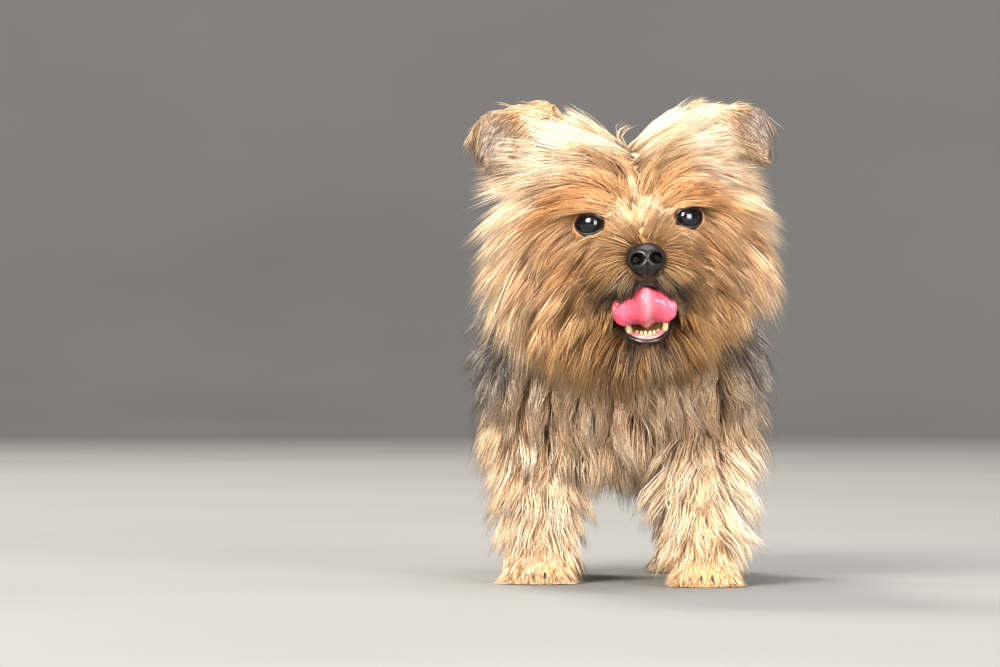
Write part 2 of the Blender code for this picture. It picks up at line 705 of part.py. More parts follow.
def flesh():
    """The whole body with the core of its coat, as one smooth closed mesh."""
    built = bmesh.new()
    for mass in MASSES:
        span = (Vector(mass.end) - Vector(mass.start)).length
        steps = max(2, int(span / (BALL_STEP * min(mass.r_start, mass.r_end))) + 1)
        for i in range(steps):
            share = i / (steps - 1)
            radius = mass.r_start + (mass.r_end - mass.r_start) * share + BALL_EXTRA
            size = Matrix.Diagonal((radius * mass.wide, radius, radius * mass.tall, 1))
            place = Matrix.Translation(Vector(mass.start).lerp(Vector(mass.end), share))
            bmesh.ops.create_icosphere(built, subdivisions=3, radius=1.0, matrix=place @ size)
    body = from_bmesh("flesh", built)
    remesh = body.modifiers.new("skin", "REMESH")
    remesh.mode = "VOXEL"
    remesh.voxel_size = VOXEL * MM
    apply_modifiers(body)
    settle(body, SETTLING_STEPS)
    return body


def thinned(body, name, faces):
    """A copy of the body in about so many triangles."""
    made = copy_of(body)
    made.name = name
    thin = made.modifiers.new("thin", "DECIMATE")
    thin.ratio = faces / (2 * len(made.data.polygons))
    thin.use_collapse_triangulate = True
    apply_modifiers(made)
    settle(made, 2)
    return made


def settle(obj, steps):
    """Moves each point of a mesh along the body's normal, to the top of the coat's core."""
    places = np.empty(len(obj.data.vertices) * 3)
    obj.data.vertices.foreach_get("co", places)
    points = places.reshape(-1, 3) / MM
    for _ in range(steps):
        normals = normals_at(points)
        short = core_depth(points, normals) - distance(points)
        points += 0.7 * np.clip(short, -4, 4)[:, None] * normals
    obj.data.vertices.foreach_set("co", (points * MM).ravel())
    obj.data.update()


def rooted_points(obj, spacing, chance):
    """Points scattered over an object's faces in mm, no closer than the spacing, with the face normals."""
    mesh = obj.data
    mesh.calc_loop_triangles()
    corners = np.array([[mesh.vertices[i].co for i in t.vertices] for t in mesh.loop_triangles]) / MM
    cross = np.cross(corners[:, 1] - corners[:, 0], corners[:, 2] - corners[:, 0])
    area = np.linalg.norm(cross, axis=1)
    picked = chance.choice(len(corners), LOCKS_TRIED, p=area / area.sum())
    a, b = np.sqrt(chance.random(LOCKS_TRIED)), chance.random(LOCKS_TRIED)
    shares = np.stack([1 - a, a * (1 - b), a * b], axis=1)
    points = np.einsum("nk,nkc->nc", shares, corners[picked])
    normals = unit(cross[picked])
    kept = []
    for i, point in enumerate(points):
        if all(np.linalg.norm(point - points[j]) > spacing for j in kept):
            kept.append(i)
    return points[kept], normals[kept]


def lock(name, root, normal, launch, hang, length, breadth):
    """One flat, tapered lock, sunk in at its root and bending from launch to hang."""
    rings = []
    start = root - normal * LOCK_SUNK
    for share, width in zip(LOCK_RINGS, LOCK_WIDTHS):
        middle = lock_line(start, launch, hang, length + LOCK_SUNK, share)
        tangent = unit(launch * (1 - share) + hang * share)
        out = unit(normal - tangent * (normal @ tangent))
        across = np.cross(tangent, out) * width * breadth
        ridge = out * width * breadth * 2 * LOCK_THICKNESS
        rings.append([middle - across - ridge / 3, middle + across - ridge / 3, middle + ridge * 2 / 3])
    return loft(name, rings, lock_line(start, launch, hang, length + LOCK_SUNK, 1.0))


def hides_a_feature(points):
    """True where a lock would hang in front of an eye, the nose or the mouth, in the head's frame."""
    own = points * np.stack([np.sign(points[:, 0])] + [np.ones(len(points))] * 2, axis=1)
    eye_near = np.linalg.norm(own - np.array(EYE_PLACE), axis=1) < EYE_CLEARANCE
    nose_near = np.linalg.norm(own - np.array(NOSE_PLACE), axis=1) < EYE_CLEARANCE
    low, high = np.array(MOUTH_CLEARANCE)
    mouth_near = np.all((own > low) & (own < high), axis=1)
    return bool((eye_near | nose_near | mouth_near).any())


def locks_for(obj, spacing, lies=None):
    """The locks that stand on an object, each turned and lengthened a little by chance."""
    chance = np.random.default_rng(SEED)
    points, normals = rooted_points(obj, spacing, chance)
    if lies is None:
        outer = np.abs(distance(points) - core_depth(points, normals_at(points))) < LOCK_CLEAR_OF_CUTS
        open_skin = clear_of_features(points) > LOCK_CLEAR_OF_SKIN
        points = points[outer & open_skin]
        normals = normals_at(points)
        launch, hang, length = coat(points, normals)
    else:
        own = coat_by(lies, to_head(points), normals @ HEAD_TURN)
        launch, hang, length = own[0] @ HEAD_TURN.T, own[1] @ HEAD_TURN.T, own[2]
    made = []
    for i, point in enumerate(points):
        if length[i] < LOCK_SHORTEST:
            continue
        swing = chance.normal(0, LOCK_SWING, 3)
        long = length[i] * (1 + chance.uniform(-LOCK_VARIATION, LOCK_VARIATION))
        breadth = LOCK_BREADTH * min(spacing, long * 0.7) * chance.uniform(0.85, 1.15)
        watched = np.array([lock_line(point, launch[i], hang[i], long, share) for share in LOCK_WATCHED])
        if hides_a_feature(to_head(watched)) or watched[:, 2].min() < LOWEST_TIP:
            continue
        made.append(
            lock(f"lock_{i}", point, normals[i], unit(launch[i] + swing), unit(hang[i] + swing), long, breadth)
        )
    return made


def tongue():
    """The tongue, curled up over the lower teeth, with a groove down its middle and two lobes."""
    rings = []
    middles = [np.array(station[0], float) for station in TONGUE_STATIONS]
    for i, (middle, half, thick, groove, droop) in enumerate(TONGUE_STATIONS):
        ahead = unit(middles[min(i + 1, len(middles) - 1)] - middles[max(i - 1, 0)])
        out = np.cross(ahead, (1.0, 0.0, 0.0))
        ring = []
        for side in (1, -1):
            for k in range(TONGUE_STEPS):
                share = side * (2 * k / (TONGUE_STEPS - 1) - 1)
                if side < 0 and k in (0, TONGUE_STEPS - 1):
                    continue
                full = thick / 2 * math.sqrt(max(0.0, 1 - share**2)) ** 0.6
                sink = groove * math.exp(-((share / 0.28) ** 2))
                height = side * full - sink
                point = np.array(middle, float) + np.array((share * half, 0, -droop * abs(share) ** 2))
                ring.append(from_head(point + out * height))
        rings.append(ring)
    return loft("tongue", rings)


def ear(name, side):
    """One ear with its cup, folded over so that its tip hangs forward."""
    rings = []
    middles = [np.array(station[0], float) for station in EAR_STATIONS]
    for i, (middle, breadth, half, cup) in enumerate(EAR_STATIONS):
        ahead = unit(middles[min(i + 1, len(middles) - 1)] - middles[max(i - 1, 0)])
        across = np.array(breadth, float)
        across = unit(across - ahead * (across @ ahead))
        out = np.cross(ahead, across)
        ring = []
        for face in (1, -1):
            for k in range(EAR_STEPS):
                share = face * (2 * k / (EAR_STEPS - 1) - 1)
                bowl = cup * (1 - share**2) - cup / 2
                thick = face * EAR_THICKNESS / 2 * (1.0 if abs(share) < 0.99 else 0.45)
                point = np.array(middle, float) + across * share * half + out * (bowl + thick)
                point += np.array(EAR_RAISED[name]) * min(1.0, i / EAR_FREE_FROM)
                ring.append(from_head((point[0] * side, point[1], point[2])))
        rings.append(ring)
    return loft(name, rings)


def eye(name, side):
    """One eyeball."""
    place = from_head((EYE_PLACE[0] * side, EYE_PLACE[1], EYE_PLACE[2]))
    return ball(name, place, (EYE_RADIUS,) * 3, segments=14)


def lids(side):
    """The lids of one eye as a shell over the eyeball, and the cutter that opens them."""
    place = from_head((EYE_PLACE[0] * side, EYE_PLACE[1], EYE_PLACE[2]))
    shell = ball(f"lids_{side}", place, (EYE_RADIUS + LID_DEPTH,) * 3, segments=14)
    turn = np.array(Matrix.Rotation(math.radians(EYE_TURN_DEG * side), 3, "Z"))
    wide, tall = EYE_OPENING
    rings = []
    for depth in (2.0, EYE_RADIUS + LID_DEPTH + 4.0):
        angles = (2 * math.pi * k / OPENING_SIDES for k in range(OPENING_SIDES))
        ring = [turn @ np.array((wide * math.cos(a), -depth, tall * math.sin(a))) for a in angles]
        rings.append([place + HEAD_TURN @ point for point in ring])
    return shell, loft(f"opening_{side}", rings)


def lip(name, half_line):
    """A lip: a round edge along the half line and its mirror image."""
    line = [from_head(mirrored(p)) for p in half_line] + [from_head(p) for p in reversed(half_line[:-1])]
    return tube(name, line, LIP_RADIUS)


def nose():
    """The nose leather, with two nostrils and the groove between them."""
    made = ball("nose", from_head(NOSE_PLACE), NOSE_SIZE, HEAD_TURN, segments=16)
    cutters = []
    opening = tuple(NOSTRIL_RADIUS * share for share in (1.0, 1.8, 0.95))
    outward = tuple(NOSTRIL_RADIUS * share for share in (0.95, 1.5, 0.5))
    for side in (1, -1):
        place = np.array(NOSTRIL_PLACE)
        slit = place + np.array(SLIT_OFFSET)
        for kind, point, radii in (("nostril", place, opening), ("slit", slit, outward)):
            point = from_head(point * (side, 1, 1))
            cutters.append(ball(f"{kind}_{side}", point, radii, HEAD_TURN, NOSTRIL_SEGMENTS))
    return combine(made, "DIFFERENCE", cutters)


def teeth():
    """The lower incisors in their arch, and the two lower canines."""
    made = []
    for i in range(INCISORS):
        share = (i + 0.5) / INCISORS * 2 - 1
        place = np.array(TOOTH_FRONT) + np.array(TOOTH_ARCH) * (share, share**2, share**2)
        made.append(tooth(f"incisor_{i}", place, *INCISOR_SIZE))
    for side in (1, -1):
        made.append(tooth(f"canine_{side}", np.array(CANINE_PLACE) * (side, 1, 1), *CANINE_SIZE))
    return made


def mouth_room():
    """The space of the open mouth, as a cutter."""
    rings = []
    for y, z, wide, tall in MOUTH_ROOM:
        angles = (2 * math.pi * k / ROOM_SIDES for k in range(ROOM_SIDES))
        rings.append([from_head((wide * math.cos(a), y, z + tall * math.sin(a))) for a in angles])
    return loft("mouth_room", rings)


def tooth(name, place, radius, height, top):
    """One tapered tooth, standing up and forward from its place in the head's frame."""
    way = unit(np.array((TOOTH_LEAN[0] * np.sign(place[0]), TOOTH_LEAN[1], 1.0)))
    rings = []
    for share, wide in ((0.0, 0.9), (0.45, 1.0), (1.0, top)):
        middle = place + way * height * share
        angles = (2 * math.pi * k / TOOTH_SIDES for k in range(TOOTH_SIDES))
        spokes = (np.array((math.cos(a), TOOTH_DEPTH * math.sin(a), 0)) for a in angles)
        rings.append([from_head(middle + radius * wide * spoke) for spoke in spokes])
    return loft(name, rings, from_head(place + way * height * 1.06))


def claws(name):
    """The four claws of one paw, each curving down in front of its toe."""
    x, y, z = LEGS[name].paw
    made = []
    for i, (side, reach) in enumerate(TOES):
        root = np.array((x + side, y - reach - TOE_RADIUS + CLAW_SUNK, z - 2.0))
        rings = []
        for share, wide in CLAW_RINGS:
            middle = root + share * np.array((0, -CLAW_LENGTH, -1.2))
            angles = (2 * math.pi * k / TOOTH_SIDES for k in range(TOOTH_SIDES))
            spokes = (np.array((0.8 * math.cos(a), 0, math.sin(a))) for a in angles)
            rings.append([middle + CLAW_RADIUS * wide * spoke for spoke in spokes])
        made.append(loft(f"claw_{i}", rings, root + np.array((0, -CLAW_LENGTH, -CLAW_DROP))))
    return made


class Built:
    """The parts made so far, in order: each new part is cut clear of those before it."""

    def __init__(self):
        """Starts with no part."""
        self.parts = []

    def add(self, obj, finish):
        """Cuts an object clear of the parts made before it, and keeps it with its finish."""
        near = [part for part in self.parts if boxes_meet(part, obj)]
        combine(obj, "DIFFERENCE", [copy_of(part, grow) for part in near for grow in (GROWTH, 0.0)])
        merge_level_faces(obj)
        keep_largest(obj)
        for neck in THIN_NECKS:
            keep_largest(obj, neck)
        obj.data.materials.clear()
        obj.data.materials.append(finish)
        self.parts.append(obj)


def boxes_meet(one, other):
    """True where two objects' bounding boxes meet."""
    spans = []
    for obj in (one, other):
        points = np.array([v.co[:] for v in obj.data.vertices])
        spans.append((points.min(axis=0) - MM, points.max(axis=0) + MM))
    return bool(np.all(spans[0][0] < spans[1][1]) and np.all(spans[1][0] < spans[0][1]))


def finish(name):
    """One plain finish."""
    colour, roughness = FINISHES[name]
    made = bpy.data.materials.new(name)
    made.use_nodes = True
    shader = made.node_tree.nodes["Principled BSDF"]
    shader.inputs["Base Color"].default_value = (*colour, 1.0)
    shader.inputs["Roughness"].default_value = roughness
    shader.inputs["Metallic"].default_value = 0.0
    made.diffuse_color = (*colour, 1.0)
    return made


def centre(parts):
    """Moves the parts so that the middle of their outline on the floor is the frame's origin."""
    points = np.array([vertex.co[:] for part in parts for vertex in part.data.vertices])
    middle = (points.min(axis=0) + points.max(axis=0)) / 2
    shift = Matrix.Translation(Vector((-middle[0], -middle[1], 0)))
    for part in parts:
        part.data.transform(shift)


def below(height):
    """The cut that keeps what is below a height."""
    return (0, 0, height), (0, 0, -1)


DOG = bpy.data.collections.new("yorkshire_terrier")


def main():
    """Builds the dog: small features first, then the head, and the body from the front to the back."""
    for old in list(bpy.data.objects):
        bpy.data.objects.remove(old)
    bpy.context.scene.collection.children.link(DOG)
    finishes = {name: finish(name) for name in FINISHES}
    dog = Built()

    for name, side in (("eye_left", 1), ("eye_right", -1)):
        dog.add(eye(name, side), finishes["dark_eye"])
    dog.add(nose(), finishes["nose_leather"])
    dog.add(tongue(), finishes["wet_tongue"])
    for name, side in (("ear_left", 1), ("ear_right", -1)):
        flap = ear(name, side)
        dog.add(joined(name, [flap] + locks_for(flap, LOCK_SPACING["ear"], EAR_LIES)), finishes["ear_coat"])

    body = flesh()
    fine = thinned(body, "fine", HEAD_FACES)
    coarse = thinned(body, "coarse", BODY_FACES)
    bpy.data.objects.remove(body)
    combine(fine, "DIFFERENCE", [mouth_room()])

    jaw_cuts = [HEAD_CUT, JAW_CUT, JAW_BACK]
    jaw = within(fine, "lower_jaw", jaw_cuts)
    pieces = [jaw, lip("lower_lip", LOWER_LIP)] + teeth() + locks_for(jaw, LOCK_SPACING["lower_jaw"])
    dog.add(joined("lower_jaw", pieces), finishes["golden_coat"])

    head = without(within(fine, "head", [HEAD_CUT]), jaw_cuts)
    shells, openings = zip(lids(1), lids(-1))
    pieces = [head, *shells, lip("upper_lip", UPPER_LIP)] + locks_for(head, LOCK_SPACING["head"])
    head = combine(joined("head", pieces), "DIFFERENCE", openings)
    dog.add(head, finishes["golden_coat"])

    rest = [reverse(HEAD_CUT)]
    tail = within(coarse, "tail", rest + [TAIL_CUT])
    dog.add(joined("tail", [tail] + locks_for(tail, LOCK_SPACING["tail"])), finishes["steel_coat"])
    neck = within(coarse, "neck", rest + [NECK_CUT])
    dog.add(joined("neck", [neck] + locks_for(neck, LOCK_SPACING["neck"])), finishes["golden_coat"])
    trunk = rest + [reverse(NECK_CUT), reverse(TAIL_CUT)]
    for name, cut, look in (("chest", CHEST_CUT, "pale_coat"), ("torso", reverse(CHEST_CUT), "steel_coat")):
        piece = within(coarse, name, trunk + [cut])
        for leg in LEGS:
            piece = without(piece, leg_cuts(leg))
        dog.add(joined(name, [piece] + locks_for(piece, LOCK_SPACING["torso"])), finishes[look])
    for name in LEGS:
        cuts = leg_cuts(name)
        leg = within(coarse, name, cuts + [reverse(below(PAW_TOP))])
        dog.add(joined(name, [leg] + locks_for(leg, LOCK_SPACING["leg"])), finishes["pale_coat"])
        paw_name = name.replace("leg", "paw")
        paw = within(fine, paw_name, cuts + [below(PAW_TOP), reverse(below(-GAP / 2))])
        dog.add(joined(paw_name, [paw] + claws(name)), finishes["pale_coat"])

    for obj in (fine, coarse):
        bpy.data.objects.remove(obj)
    centre(dog.parts)


if __name__ == "__main__":
    main()
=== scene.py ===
"""The looks of a Yorkshire terrier, life size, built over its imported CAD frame.

One skin stands for all the flesh. The coat is solid strands of mesh gathered into tufts that follow the lie
of the hair. Eyes, lids, nose, tongue, teeth, lips and claws are pieces of their own. Sizes in the tables are
in millimetres in the frame of the dog, which faces -Y with +Z up, and its own left is +X. A mesh is scaled
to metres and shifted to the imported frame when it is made.
"""

import logging
import math
from dataclasses import dataclass, field
from enum import Enum
from itertools import product
from typing import Callable, NamedTuple, Optional, Sequence, Union

import bmesh
import bpy
import numpy as np
from mathutils import Matrix, Vector

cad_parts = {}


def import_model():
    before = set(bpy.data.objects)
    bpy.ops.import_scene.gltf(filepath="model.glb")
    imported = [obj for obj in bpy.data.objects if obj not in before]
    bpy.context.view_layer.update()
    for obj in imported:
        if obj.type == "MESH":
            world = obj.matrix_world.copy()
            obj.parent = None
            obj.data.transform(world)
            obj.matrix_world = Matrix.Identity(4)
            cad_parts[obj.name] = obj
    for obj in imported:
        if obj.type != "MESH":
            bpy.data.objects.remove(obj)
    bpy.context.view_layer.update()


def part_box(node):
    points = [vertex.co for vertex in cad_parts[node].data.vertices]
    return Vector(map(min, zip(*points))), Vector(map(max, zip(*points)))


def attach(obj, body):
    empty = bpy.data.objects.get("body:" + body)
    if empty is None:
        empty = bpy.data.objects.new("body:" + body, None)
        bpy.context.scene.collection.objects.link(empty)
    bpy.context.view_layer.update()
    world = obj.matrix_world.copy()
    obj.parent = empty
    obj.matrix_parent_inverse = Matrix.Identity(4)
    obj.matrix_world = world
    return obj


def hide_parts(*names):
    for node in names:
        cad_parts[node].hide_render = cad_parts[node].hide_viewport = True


LOG = logging.getLogger("yorkshire_terrier")
MM = 0.001
SEED = 29
BODY = "root"
BAKE_MAP = "OFBake"
PIECE_LIMIT = 195_000
DOWN = np.array([0.0, 0.0, -1.0])
SIDES = (1, -1)

Stops = Sequence[tuple[float, tuple[float, float, float]]]
Value = Union[bpy.types.NodeSocket, float, tuple]

HEAD_CENTRE = (4.5, -118.0, 208.5)
HEAD_ROLL_DEG = -4.0
HEAD_YAW_DEG = 3.5
BLEND = 3.0

EYE_RADIUS = 9.3
EYE_PLACE = (25.6, -31.5, -5.5)
EYE_OPENING = (7.3, 5.1)
EYE_TURN_DEG = 16.0
NOSE_PLACE = (0.0, -63.0, -27.5)
NOSE_SIZE = (10.8, 8.4, 9.6)

FLESH_NODES = (
    "head", "lower_jaw", "neck", "chest", "torso", "tail", "ear_left", "ear_right",
    "foreleg_left", "foreleg_right", "hindleg_left", "hindleg_right",
    "forepaw_left", "forepaw_right", "hindpaw_left", "hindpaw_right",
)


class Slot(Enum):
    """The record's material slots."""

    GOLDEN = "golden_coat"
    PALE = "pale_coat"
    STEEL = "steel_coat"
    EAR = "ear_coat"
    EYE = "dark_eye"
    NOSE = "nose_leather"
    TONGUE = "wet_tongue"


class Mask(Enum):
    """The markings that skin and coat share, painted shade and light among them, as attributes of their
    meshes.
    """

    PALE = "mark_pale"
    RUST = "mark_rust"
    UMBER = "mark_umber"
    STEEL = "mark_steel"
    BLACK = "mark_black"


class Mass(NamedTuple):
    """A tapered mass of flesh between two points, with an oval section where wide or tall isn't 1."""

    start: tuple
    end: tuple
    r_start: float
    r_end: float
    wide: float = 1.0
    tall: float = 1.0


class Lie(NamedTuple):
    """How the coat lies near one place: its flow, lift, length, fall and how far it puffs out."""

    place: tuple
    flow: tuple
    lift: float
    length: float
    fall: float
    puff: float = 0.3


class Leg(NamedTuple):
    """One leg as the joints that its bones pass, from the top down, with the flesh's radius at each."""

    joints: tuple
    radii: tuple
    paw: tuple


class Lamp(NamedTuple):
    """One soft square light: its name, place and breadth in metres, power in watts and colour."""

    name: str
    place: tuple
    size: float
    power: float
    colour: tuple


class Marking(NamedTuple):
    """An oval patch of one mask: its middle, its three radii and how strong it is."""

    mask: Mask
    place: tuple
    radii: tuple
    strength: float = 1.0


HEAD_MASSES = [
    Mass((0, 2, 0), (0, 6, 0), 34, 33, wide=1.06),
    Mass((8, -18, 9), (8, -22, 8), 22, 20),
    Mass((22, -6, -12), (19, -18, -16), 19, 17),
    Mass((26.5, -27.5, -5.5), (27, -20, -7), 12.2, 14),
    Mass((0, -26, -12), (0, -50, -20.5), 18, 12.5, wide=1.1),
    Mass((7, -43, -29), (5, -55, -33), 10, 8.5),
]
JAW_MASSES = [
    Mass((13, -4, -40), (8, -32, -64.5), 11, 6.0),
    Mass((0, -27, -66), (0, -38, -71), 6, 4.0, wide=2.2),
]
BODY_MASSES = [
    Mass((0, -42, 139), (0, 22, 143), 48, 47, wide=1.06, tall=1.08),
    Mass((0, 22, 146), (0, 92, 156), 45, 38, wide=1.05, tall=1.05),
    Mass((0, 92, 156), (0, 108, 153), 38, 36, wide=1.08),
    Mass((0, -72, 142), (0, -78, 134), 32, 28, wide=1.15),
    Mass((0, -40, 164), (4, -92, 203), 36, 30),
    Mass((0, -62, 160), (5, -98, 176), 30, 24),
]
PAIRED_MASSES = [
    Mass((34, -22, 176), (42, -68, 134), 19, 21),
    Mass((42, -68, 134), (44, -42, 104), 21, 19),
    Mass((32, 92, 150), (38, 82, 118), 31, 27),
]
TAIL_MASSES = [
    Mass((0, 118, 170), (0, 148, 200), 13, 10),
    Mass((0, 148, 200), (0, 158, 236), 10, 6),
]
LEGS = {
    "foreleg_left": Leg(((44, -42, 104), (45, -72, 58), (46, -86, 30)), (17, 11.5, 10), (46, -94, 8.2)),
    "foreleg_right": Leg(((-44, -42, 104), (-46, -40, 56), (-47, -46, 30)), (17, 11.5, 10), (-47, -54, 8.2)),
    "hindleg_left": Leg(
        ((38, 82, 118), (42, 88, 88), (41, 126, 50), (41, 120, 26)), (25, 17, 9, 9), (41, 110, 8.2)
    ),
    "hindleg_right": Leg(
        ((-38, 82, 118), (-42, 64, 90), (-41, 92, 50), (-41, 84, 26)), (25, 17, 9, 9), (-41, 74, 8.2)
    ),
}
PAW_RADIUS = 11.0
PAW_HEEL = (4.0, 3.0)
TOES = ((-9.6, 4.5), (-3.2, 8.0), (3.2, 8.0), (9.6, 4.5))
TOE_ROOT = (0.7, -3.0, 8.0)
TOE_RADIUS = 6.6
TOE_DROP = 4.5

# Each ear's stations from the root to the tip of the flap: middle, direction of breadth, half breadth, cup
EAR_STATIONS = [
    ((30, 8, 18), (0.45, 0.1, -0.9), 15.0, 4.0),
    ((40, 9, 32), (0.7, 0.05, -0.7), 18.0, 6.0),
    ((49, 7, 44), (0.9, 0.0, -0.42), 20.0, 6.0),
    ((55, 0, 51), (1.0, 0.0, -0.08), 21.0, 4.0),
    ((58, -8, 49), (1.0, 0.0, -0.05), 19.0, 3.0),
    ((63, -13, 42), (1.0, 0.0, -0.05), 14.5, 2.0),
    ((69, -16, 34), (1.0, 0.0, 0.0), 8.5, 1.0),
    ((74, -17, 26), (1.0, 0.0, 0.0), 2.4, 0.4),
]
EAR_RAISED = {1: (0.0, 0.0, 0.0), -1: (5.0, 0.0, 6.0)}
EAR_THICKNESS = 2.0

# The tongue's stations from root to tip: middle, half breadth, thickness, groove, droop of the edges
TONGUE_STATIONS = [
    ((0, -16, -50), 8.0, 6.0, 0.6, 0.0),
    ((0, -30, -56.5), 9.0, 6.0, 1.0, 0.0),
    ((0, -42, -60), 9.5, 5.6, 1.4, -0.5),
    ((-2, -50, -58.5), 13.0, 5.6, 1.8, 3.0),
    ((-2, -55.5, -53), 17.0, 5.5, 2.0, 5.0),
    ((-2, -55.5, -46.5), 17.5, 5.0, 1.8, 4.0),
    ((-2, -49.5, -42.5), 13.0, 4.0, 0.8, 2.0),
]
UPPER_LIP = [(18, -20, -40), (16, -34, -39), (12, -47, -41), (6, -57, -42), (0, -60, -39.5)]
LOWER_LIP = [(17.5, -18, -47), (15.5, -29, -58), (12, -38, -66), (6.5, -43, -70.5), (0, -44.5, -71.8)]
# The open mouth's room from back to front: y, z, half breadth, half height
MOUTH_ROOM = [(-15, -45.5, 17, 1.0), (-30, -50, 18, 6.0), (-44, -54.5, 21, 11.0), (-80, -57, 27, 13.0)]
TOOTH_ARCH = (6.6, 4.5, 1.2)
TOOTH_FRONT = (0.0, -43.0, -68.5)
CANINE_PLACE = (9.6, -39.0, -67.0)

HEAD_LIES = [
    Lie((2, 10, 36), (0.9, 0.1, 0.1), 0.7, 42, 0.15, 0.4),
    Lie((3, -4, 38), (0.9, -0.1, 0.1), 0.7, 42, 0.15, 0.4),
    Lie((6, -18, 34), (0.8, -0.1, 0.3), 0.6, 38, 0.3, 0.2),
    Lie((10, -32, 24), (0.85, -0.05, 0.25), 0.5, 40, 0.3),
    Lie((24, -32, 14), (0.9, 0.0, -0.1), 0.5, 44, 0.45),
    Lie((29, -17, 27), (0.95, -0.1, 0.15), 0.8, 40, 0.05, 0.6),
    Lie((9, -12, 35), (0.9, -0.2, 0.2), 0.76, 47, 0.1, 0.5),
    Lie((9, 3, 37), (0.9, 0.0, 0.2), 0.78, 47, 0.08, 0.5),
    Lie((17, -12, 34), (0.9, -0.35, 0.2), 0.88, 56, 0.0, 0.75),
    Lie((19, 0, 36), (0.9, -0.4, 0.2), 0.93, 56, 0.0, 0.8),
    Lie((25, -8, 32), (0.85, -0.45, 0.2), 0.96, 60, 0.0, 1.15),
    Lie((26, 6, 31), (0.85, -0.5, 0.2), 0.97, 60, 0.0, 1.25),
    Lie((30, 4, 28), (0.6, -0.6, 0.3), 0.95, 52, 0.0, 1.1),
    Lie((3, -40, 4), (0.3, -0.1, 0.95), 0.35, 16, 0.0),
    Lie((4, -50, -8), (0.3, 0.05, 0.95), 0.35, 14, 0.0, 0.1),
    Lie((4, -57, -17), (0.35, 0.1, 0.9), 0.35, 13, 0.0, 0.1),
    Lie((5, -59, -38), (0.4, -0.3, -0.8), 0.5, 10, 0.6, 0.2),
    Lie((14, -50, -37), (0.75, 0.0, -0.6), 0.6, 30, 0.65, 0.25),
    Lie((27, -42, -14), (0.5, -0.1, -0.8), 0.3, 12, 0.4),
    Lie((26, -40, 4), (0.9, -0.1, 0.3), 0.35, 20, 0.3),
    Lie((38, -30, -5), (0.9, 0.1, -0.5), 0.45, 38, 0.6),
    Lie((15, -46, -15), (0.9, 0.05, -0.1), 0.55, 36, 0.6),
    Lie((12, -56, -27), (0.95, 0.1, -0.2), 0.5, 38, 0.6),
    Lie((20, -44, -27), (0.9, 0.0, -0.4), 0.7, 54, 0.7),
    Lie((38, -24, -14), (0.8, 0.1, -0.6), 0.84, 75, 0.65, 0.37),
    Lie((42, -8, -10), (0.4, 0.1, -0.9), 0.9, 84, 0.7, 0.42),
    Lie((40, 14, -8), (0.3, 0.3, -0.9), 0.9, 84, 0.7, 0.42),
    Lie((38, -6, 14), (0.5, 0.1, -0.8), 0.92, 69, 0.6, 0.47),
    Lie((37, 8, 16), (0.7, 0.1, -0.5), 0.95, 70, 0.58, 0.44),
    Lie((28, -12, -34), (0.5, 0.0, -0.9), 0.8, 70, 0.75, 0.4),
    Lie((14, -22, -50), (0.3, -0.2, -0.95), 0.65, 56, 0.75),
    Lie((8, -40, -77), (0.25, -0.1, -1.0), 0.55, 32, 0.7),
    Lie((12, 36, 12), (0.3, 0.4, -0.8), 0.55, 52, 0.5),
    Lie((12, 30, -22), (0.3, 0.3, -0.9), 0.5, 54, 0.7),
]
